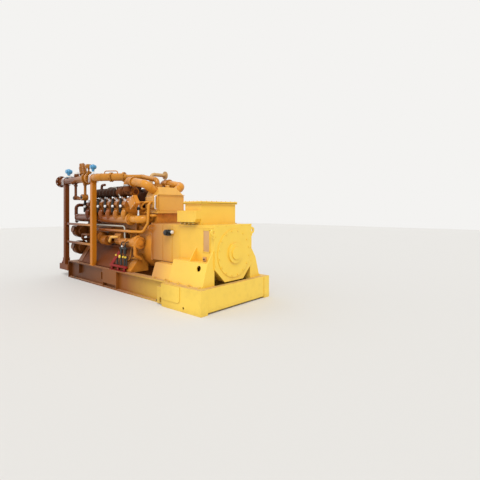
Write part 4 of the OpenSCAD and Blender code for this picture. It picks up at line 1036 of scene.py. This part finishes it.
# Gas transmitters
# Two die-cast transmitter heads in clean blue enamel, each on a screwed neck; the front one
# stands on a white ring. Screwed covers close both ends of a head.
blue_enamel = enamel("blue_enamel_on_die_cast_aluminium", "#4F9AC6", "#1F3F58", "#9DB4C0", 0.3, 0.35, 0.25,
                     brush=60)
paint_nodes(blue_enamel, "gas_instruments")
FRONT_HEAD_D, REAR_HEAD_D = 4964, 3715
heads = bmesh.new()
for d, r, middle in ((FRONT_HEAD_D, 68, 2588), (REAR_HEAD_D, 60, 2608)):
    for side in SIDES:
        turned(heads, spot(d, GAS_Y + side * r * 0.5, middle), (0, side, 0),
               [(0, r * 0.72), (r * 0.5, r * 0.72), (r * 0.56, r * 0.64), (r * 0.56, 0)], 20)
    turnings(heads,
             ((d - r * 0.7, GAS_Y, middle), OUT, [(0, r * 0.36), (r * 0.5, r * 0.36), (r * 0.5, 0)], 12),
             ((d, GAS_Y, middle - r * 1.30), UP,
              [(0, r * 0.5), (r * 0.5, r * 0.62), (r * 0.6, r * 0.62)], 16))
piece("transmitter_covers", heads, blue_enamel)
revolved("transmitter_ring", white_plastic, "transmitter_blue",
         ((FRONT_HEAD_D, GAS_Y, 2445), UP, [(0, 80), (2, 83.5), (36, 83.5), (39.5, 80)], 28))
revolved("transmitter_neck", zinc, "transmitter_blue",
         ((REAR_HEAD_D, GAS_Y, 2442), UP, [(0, 44), (20, 44), (24, 34), (60, 34), (62, 28)], 6))


# Posts of the gas pipe
# Square steel posts on foot plates, with a cap plate and U-bolts over the pipe. The front one
# stands on a bracket with a red-primed strut. Orange enamel, worn dull, and brown at the front,
# partly from oil and dirt and partly as painted shade.
post_enamel = enamel("worn_orange_enamel_on_square_tube", "#CA7A1A", "#6A3214", "#B98A5C", 0.34, 0.45, 0.3,
                     brush=200, oil_and_shade_fades=("#703814",), span=(-1200, -2500), gloss=0.16)
paint_nodes(post_enamel, "post_rear", "post_front")
REAR_POST, FRONT_POST = 3702, 5100
post_bits, post_seats = bmesh.new(), []
for d, foot_z, inward in ((REAR_POST, 400, 1), (FRONT_POST, 290, -1)):
    # Foot plate and cap plate, rung plates on the inner face, and a saddle under the pipe
    blocks(post_bits, 2, [(d - 85, -774, foot_z, d + 85, -655, foot_z + 14),
                          (d - 62, GAS_Y - 62, 2262, d + 62, GAS_Y + 62, 2276)])
    blocks(post_bits, 1, [(d + inward * 50, GAS_Y - 42, z - 42, d + inward * 56, GAS_Y + 42, z + 42)
                          for z in (860, 1300)])
    turned(post_bits, spot(d + 50, GAS_Y, GAS_Z), OUT, collar(84.5, 88, 100), 28)
    post_seats += [(spot(d + dd, y, foot_z + 14), UP, 20) for dd in (-70, 70) for y in (-752, -675)]
# End ribs of the front post's bracket
blocks(post_bits, 2, [(d, -789, 150, d + 12, -655, 296) for d in (4900, 5335)])
piece("post_plates", post_bits, post_enamel)
seated("post_bolts", post_seats, post_enamel, "skid_paint")
tubes("post_u_bolts", 6, 94, zinc, "skid_paint",
      *([(d + dd, GAS_Y + dy, z) for dy, z in ((-94, 2255), (-94, GAS_Z + 94), (94, GAS_Z + 94), (94, 2255))]
        for d in (REAR_POST, FRONT_POST) for dd in (-30, 30)))
strut = bmesh.new()
prism(strut, [spot(d, -745, z) for d, z in ((5345, 285), (5325, 285), (5155, 470), (5155, 500))],
      mm(0, 40, 0))
piece("post_strut", strut, red_enamel)


# Front of the engine
# The gear housing's face, the damper's guard and the gear-driven pumps, cast iron under the
# engine's darkest paint, partly oil and partly painted shade, and bolted all round. Drain stubs
# close the manifolds' front ends.
FACE_D, GUARD_D, PUMP_Y, COVER_Z = 4637, 4805, 520, 1360
front_bits = turnings(
    bmesh.new(),
    ((FACE_D, 0, shaft_z), FRONT, [(0, 330), (16, 330), (20, 300)], 48),
    ((GUARD_D, 0, shaft_z), FRONT, [(0, 255), (6, 250), (10, 130)], 48),
    ((FACE_D - 1, 0, COVER_Z), FRONT, [(0, 105), (24, 105), (28, 80), (46, 75), (50, 30), (50, 0)], 28))
front_seats = seat_rows(FRONT, 20, *((FACE_D, -240, z, FACE_D, 240, z, 4) for z in (1540, 450)))
front_seats += ring_seats(spot(GUARD_D, 0, shaft_z), FRONT, 278, 16, 20)
front_seats += ring_seats(spot(GUARD_D + 30, 0, shaft_z), FRONT, 90, 8, 22)
front_seats += ring_seats(spot(FACE_D + 23, 0, COVER_Z), FRONT, 94, 8, 14)
for side in SIDES:
    front_seats += seat_rows(FRONT, 20,
                             (FACE_D, side * 405, 900, FACE_D, side * 405, 1220, 4),
                             (FACE_D, side * 385, 1300, FACE_D, side * 290, 1520, 3),
                             (FACE_D, side * 295, 470, FACE_D, side * 395, 800, 3))
    front_seats += ring_seats(spot(4826, side * MANIFOLD_Y, MANIFOLD_Z), FRONT, 74, 6, 18)
    turned(front_bits, spot(4910, side * MANIFOLD_Y, 1362), -UP,
           [(0, 46), (18, 46), (18, 26), (40, 26), (40, 0)], 6)
    # Two pumps on each side, with their end covers, their flanges and their outlets
    for z in (1130, 720):
        front_seats += ring_seats(spot(4890, side * PUMP_Y, z), FRONT, 148, 8, 20)
        turnings(front_bits,
                 ((4890, side * PUMP_Y, z), FRONT, [(0, 128), (8, 124), (14, 80), (30, 66), (30, 50)], 28),
                 ((4702, side * PUMP_Y, z), FRONT, collar(163, 170, 27, 3), 32),
                 ((4800, side * 580, z + 20), (0, side, 0.25),
                  [(30, 60), (115, 58), (115, 82), (130, 82), (130, 0)], 20))
piece("front_covers", front_bits, engine_enamel)
seated("front_bolts", front_seats, engine_enamel, "engine_paint")
